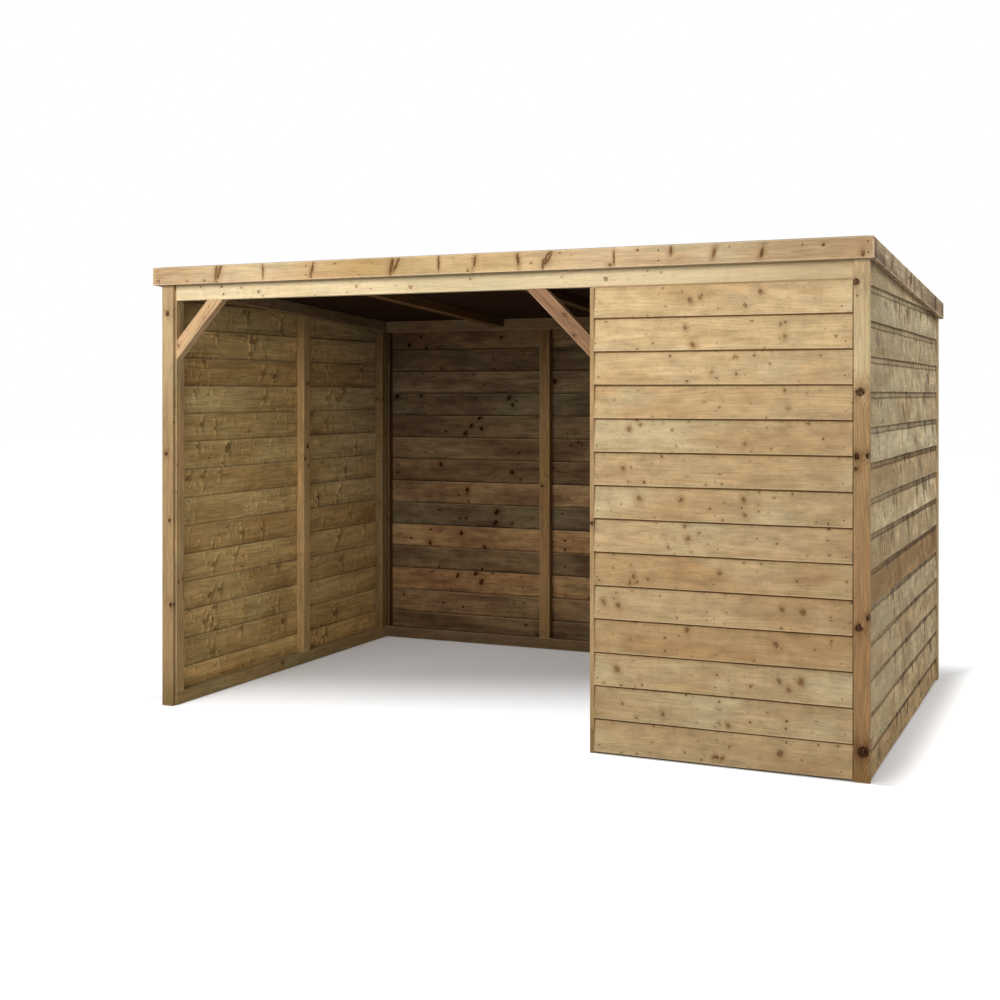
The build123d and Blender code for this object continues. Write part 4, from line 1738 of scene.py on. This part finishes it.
cameraPlace = {
    "location": (2.5878, -6.6445, 1.5152),
    "turn": 0.4197,           # radians to the left of straight on
    "lens": 50.26,
    "sensor": 36.0,
    "shift": -0.1059,
}
cameraData = bpy.data.cameras.new("photoCamera")
cameraData.lens = cameraPlace["lens"]
cameraData.sensor_width = cameraPlace["sensor"]
cameraData.shift_y = cameraPlace["shift"]
cameraData.clip_end = 200.0
photoCamera = bpy.data.objects.new("photoCamera", cameraData)
photoCamera.location = cameraPlace["location"]
photoCamera.rotation_euler = (math.pi / 2, 0.0, cameraPlace["turn"])
scene.collection.objects.link(photoCamera)
scene.camera = photoCamera


# Floor, world and lamps

studio = {
    "floorSize": 60.0,
    "floorLevel": -0.0005,
    "floorColour": colour(0.82, 0.82, 0.82),
    "nearLift": 0.14,         # what the camera sees of the floor on top of its own light,
    "farLift": 0.75,          # under the shelter and away from it
    "bayDeeper": (-0.4075, 0.9132, 0.0),    # into the bay, aslant as the lamp shines
    "bayStart": 0.55,         # how far that way the one starts to turn into the other,
    "bayReach": 1.30,         # and over what distance
    "sideReach": 0.20,        # and the same beyond the side walls,
    "backReach": 0.6,         # and behind the back wall
    "footReach": 0.012,       # and in front of the closed panel's foot
    "edgeReach": 0.03,        # from the panel's free edge, over which its front joins the bay
    "contact": 0.06,          # reach of the painted contact shadow where the shelter meets the floor,
    "contactShade": (0.15, 0.75),  # and the openness between which it fades
    "ambient": 0.34,          # how much the world lights the object
}


def seenDirectly(tree):
    # 1 where the camera, a reflection or glass looks at the surface
    path = addNode(tree, "LightPath")
    return most(*(path[f"Is {kind} Ray"] for kind in ("Camera", "Glossy", "Transmission")))


def makeFloor():
    # a pale sheet, just under the shelter, that the camera sees brighter than it is lit
    half = studio["floorSize"] / 2
    mesh = bpy.data.meshes.new("studioFloor")
    level = studio["floorLevel"]
    corners = [(-half, -half, level), (half, -half, level), (half, half, level), (-half, half, level)]
    mesh.from_pydata(corners, [], [(0, 1, 2, 3)])
    floor = bpy.data.objects.new("studioFloor", mesh)
    scene.collection.objects.link(floor)
    material, tree = newMaterial("studio_floor")
    matt = addNode(tree, "BsdfPrincipled", {
        "Base Color": studio["floorColour"], "Roughness": 0.95, "Specular IOR Level": 0.0,
    })
    place = objectPlaceOf(tree)
    across, back, _ = split(place)
    wall = cadBounds[1]
    deeper = reach(place, studio["bayDeeper"])
    opened = ramp(deeper, studio["bayStart"], studio["bayStart"] - studio["bayReach"])
    inFront = ramp(back, frontFace, frontFace - studio["footReach"])
    panelEdge = walls["panel"]["start"]
    besidePanel = ramp(across, panelEdge + studio["edgeReach"], panelEdge)
    ahead = maths("MINIMUM", opened, most(inFront, besidePanel))
    aside = ramp(maths("ABSOLUTE", across), wall.x, wall.x + studio["sideReach"])
    behind = ramp(back, wall.y, wall.y + studio["backReach"])
    away = most(ahead, aside, behind)
    amount = away * (studio["farLift"] - studio["nearLift"]) + studio["nearLift"]
    # the glow fades where the shelter is close: a painted contact shadow
    openness = addNode(tree, "AmbientOcclusion", {"Distance": studio["contact"]}, samples=6)["AO"]
    strength = seenDirectly(tree) * amount * ramp(openness, *studio["contactShade"])
    lift = addNode(tree, "Emission", {"Color": colour(1, 1, 1), "Strength": strength})
    both = addNode(tree, "AddShader", {0: matt[0], 1: lift[0]})
    addNode(tree, "OutputMaterial", {"Surface": both[0]})
    mesh.materials.append(material)
    floor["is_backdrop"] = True


def makeWorld():
    # white all round: the camera sees all of it, and the shelter is lit by a share
    world = bpy.data.worlds.new("studioWorld")
    world.use_nodes = True
    tree = world.node_tree
    tree.nodes.clear()
    strength = seenDirectly(tree) * (1.0 - studio["ambient"]) + studio["ambient"]
    background = addNode(tree, "Background", {"Color": colour(1, 1, 1), "Strength": strength})
    addNode(tree, "OutputWorld", {"Surface": background[0]})
    scene.world = world


# Spread is the lamp's beam in degrees; the bay lamp reaches in through the open bay
lamps = {
    "frontLamp": {"at": (-0.8, -4.6, 2.7), "aim": (0.1, -1.1, 1.6), "size": (4.0, 1.2), "power": 135.0,
                  "spread": 180.0},
    "rightLamp": {"at": (4.2, 0.4, 4.6), "aim": (1.7, 0.0, 1.0), "size": (1.6, 2.4), "power": 85.0,
                  "spread": 180.0},
    "bayLamp": {"at": (3.4, -6.0, 1.8), "aim": (-1.66, -0.42, 0.80), "size": (0.5, 0.5), "power": 1.3,
                "spread": 18.0},
}


def makeLamp(name, lamp):
    # a rectangle of light, unseen itself, that is turned to its aim
    data = bpy.data.lights.new(name, "AREA")
    data.shape = "RECTANGLE"
    data.size, data.size_y = lamp["size"]
    data.energy = lamp["power"]
    data.spread = math.radians(lamp["spread"])
    holder = bpy.data.objects.new(name, data)
    holder.visible_camera = False
    direction = np.subtract(lamp["aim"], lamp["at"])
    direction /= np.linalg.norm(direction)
    holder.location = lamp["at"]
    holder.rotation_euler = (
        math.acos(-direction[2]),
        0.0,
        math.atan2(direction[1], direction[0]) - math.pi / 2,
    )
    scene.collection.objects.link(holder)


makeFloor()
makeWorld()
for name, lamp in lamps.items():
    makeLamp(name, lamp)
scene.view_settings.view_transform = "Standard"
print("studio made")

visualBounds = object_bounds()
({
    "cad": [list(corner) for corner in cadBounds],
    "visual": [list(corner) for corner in visualBounds],
})
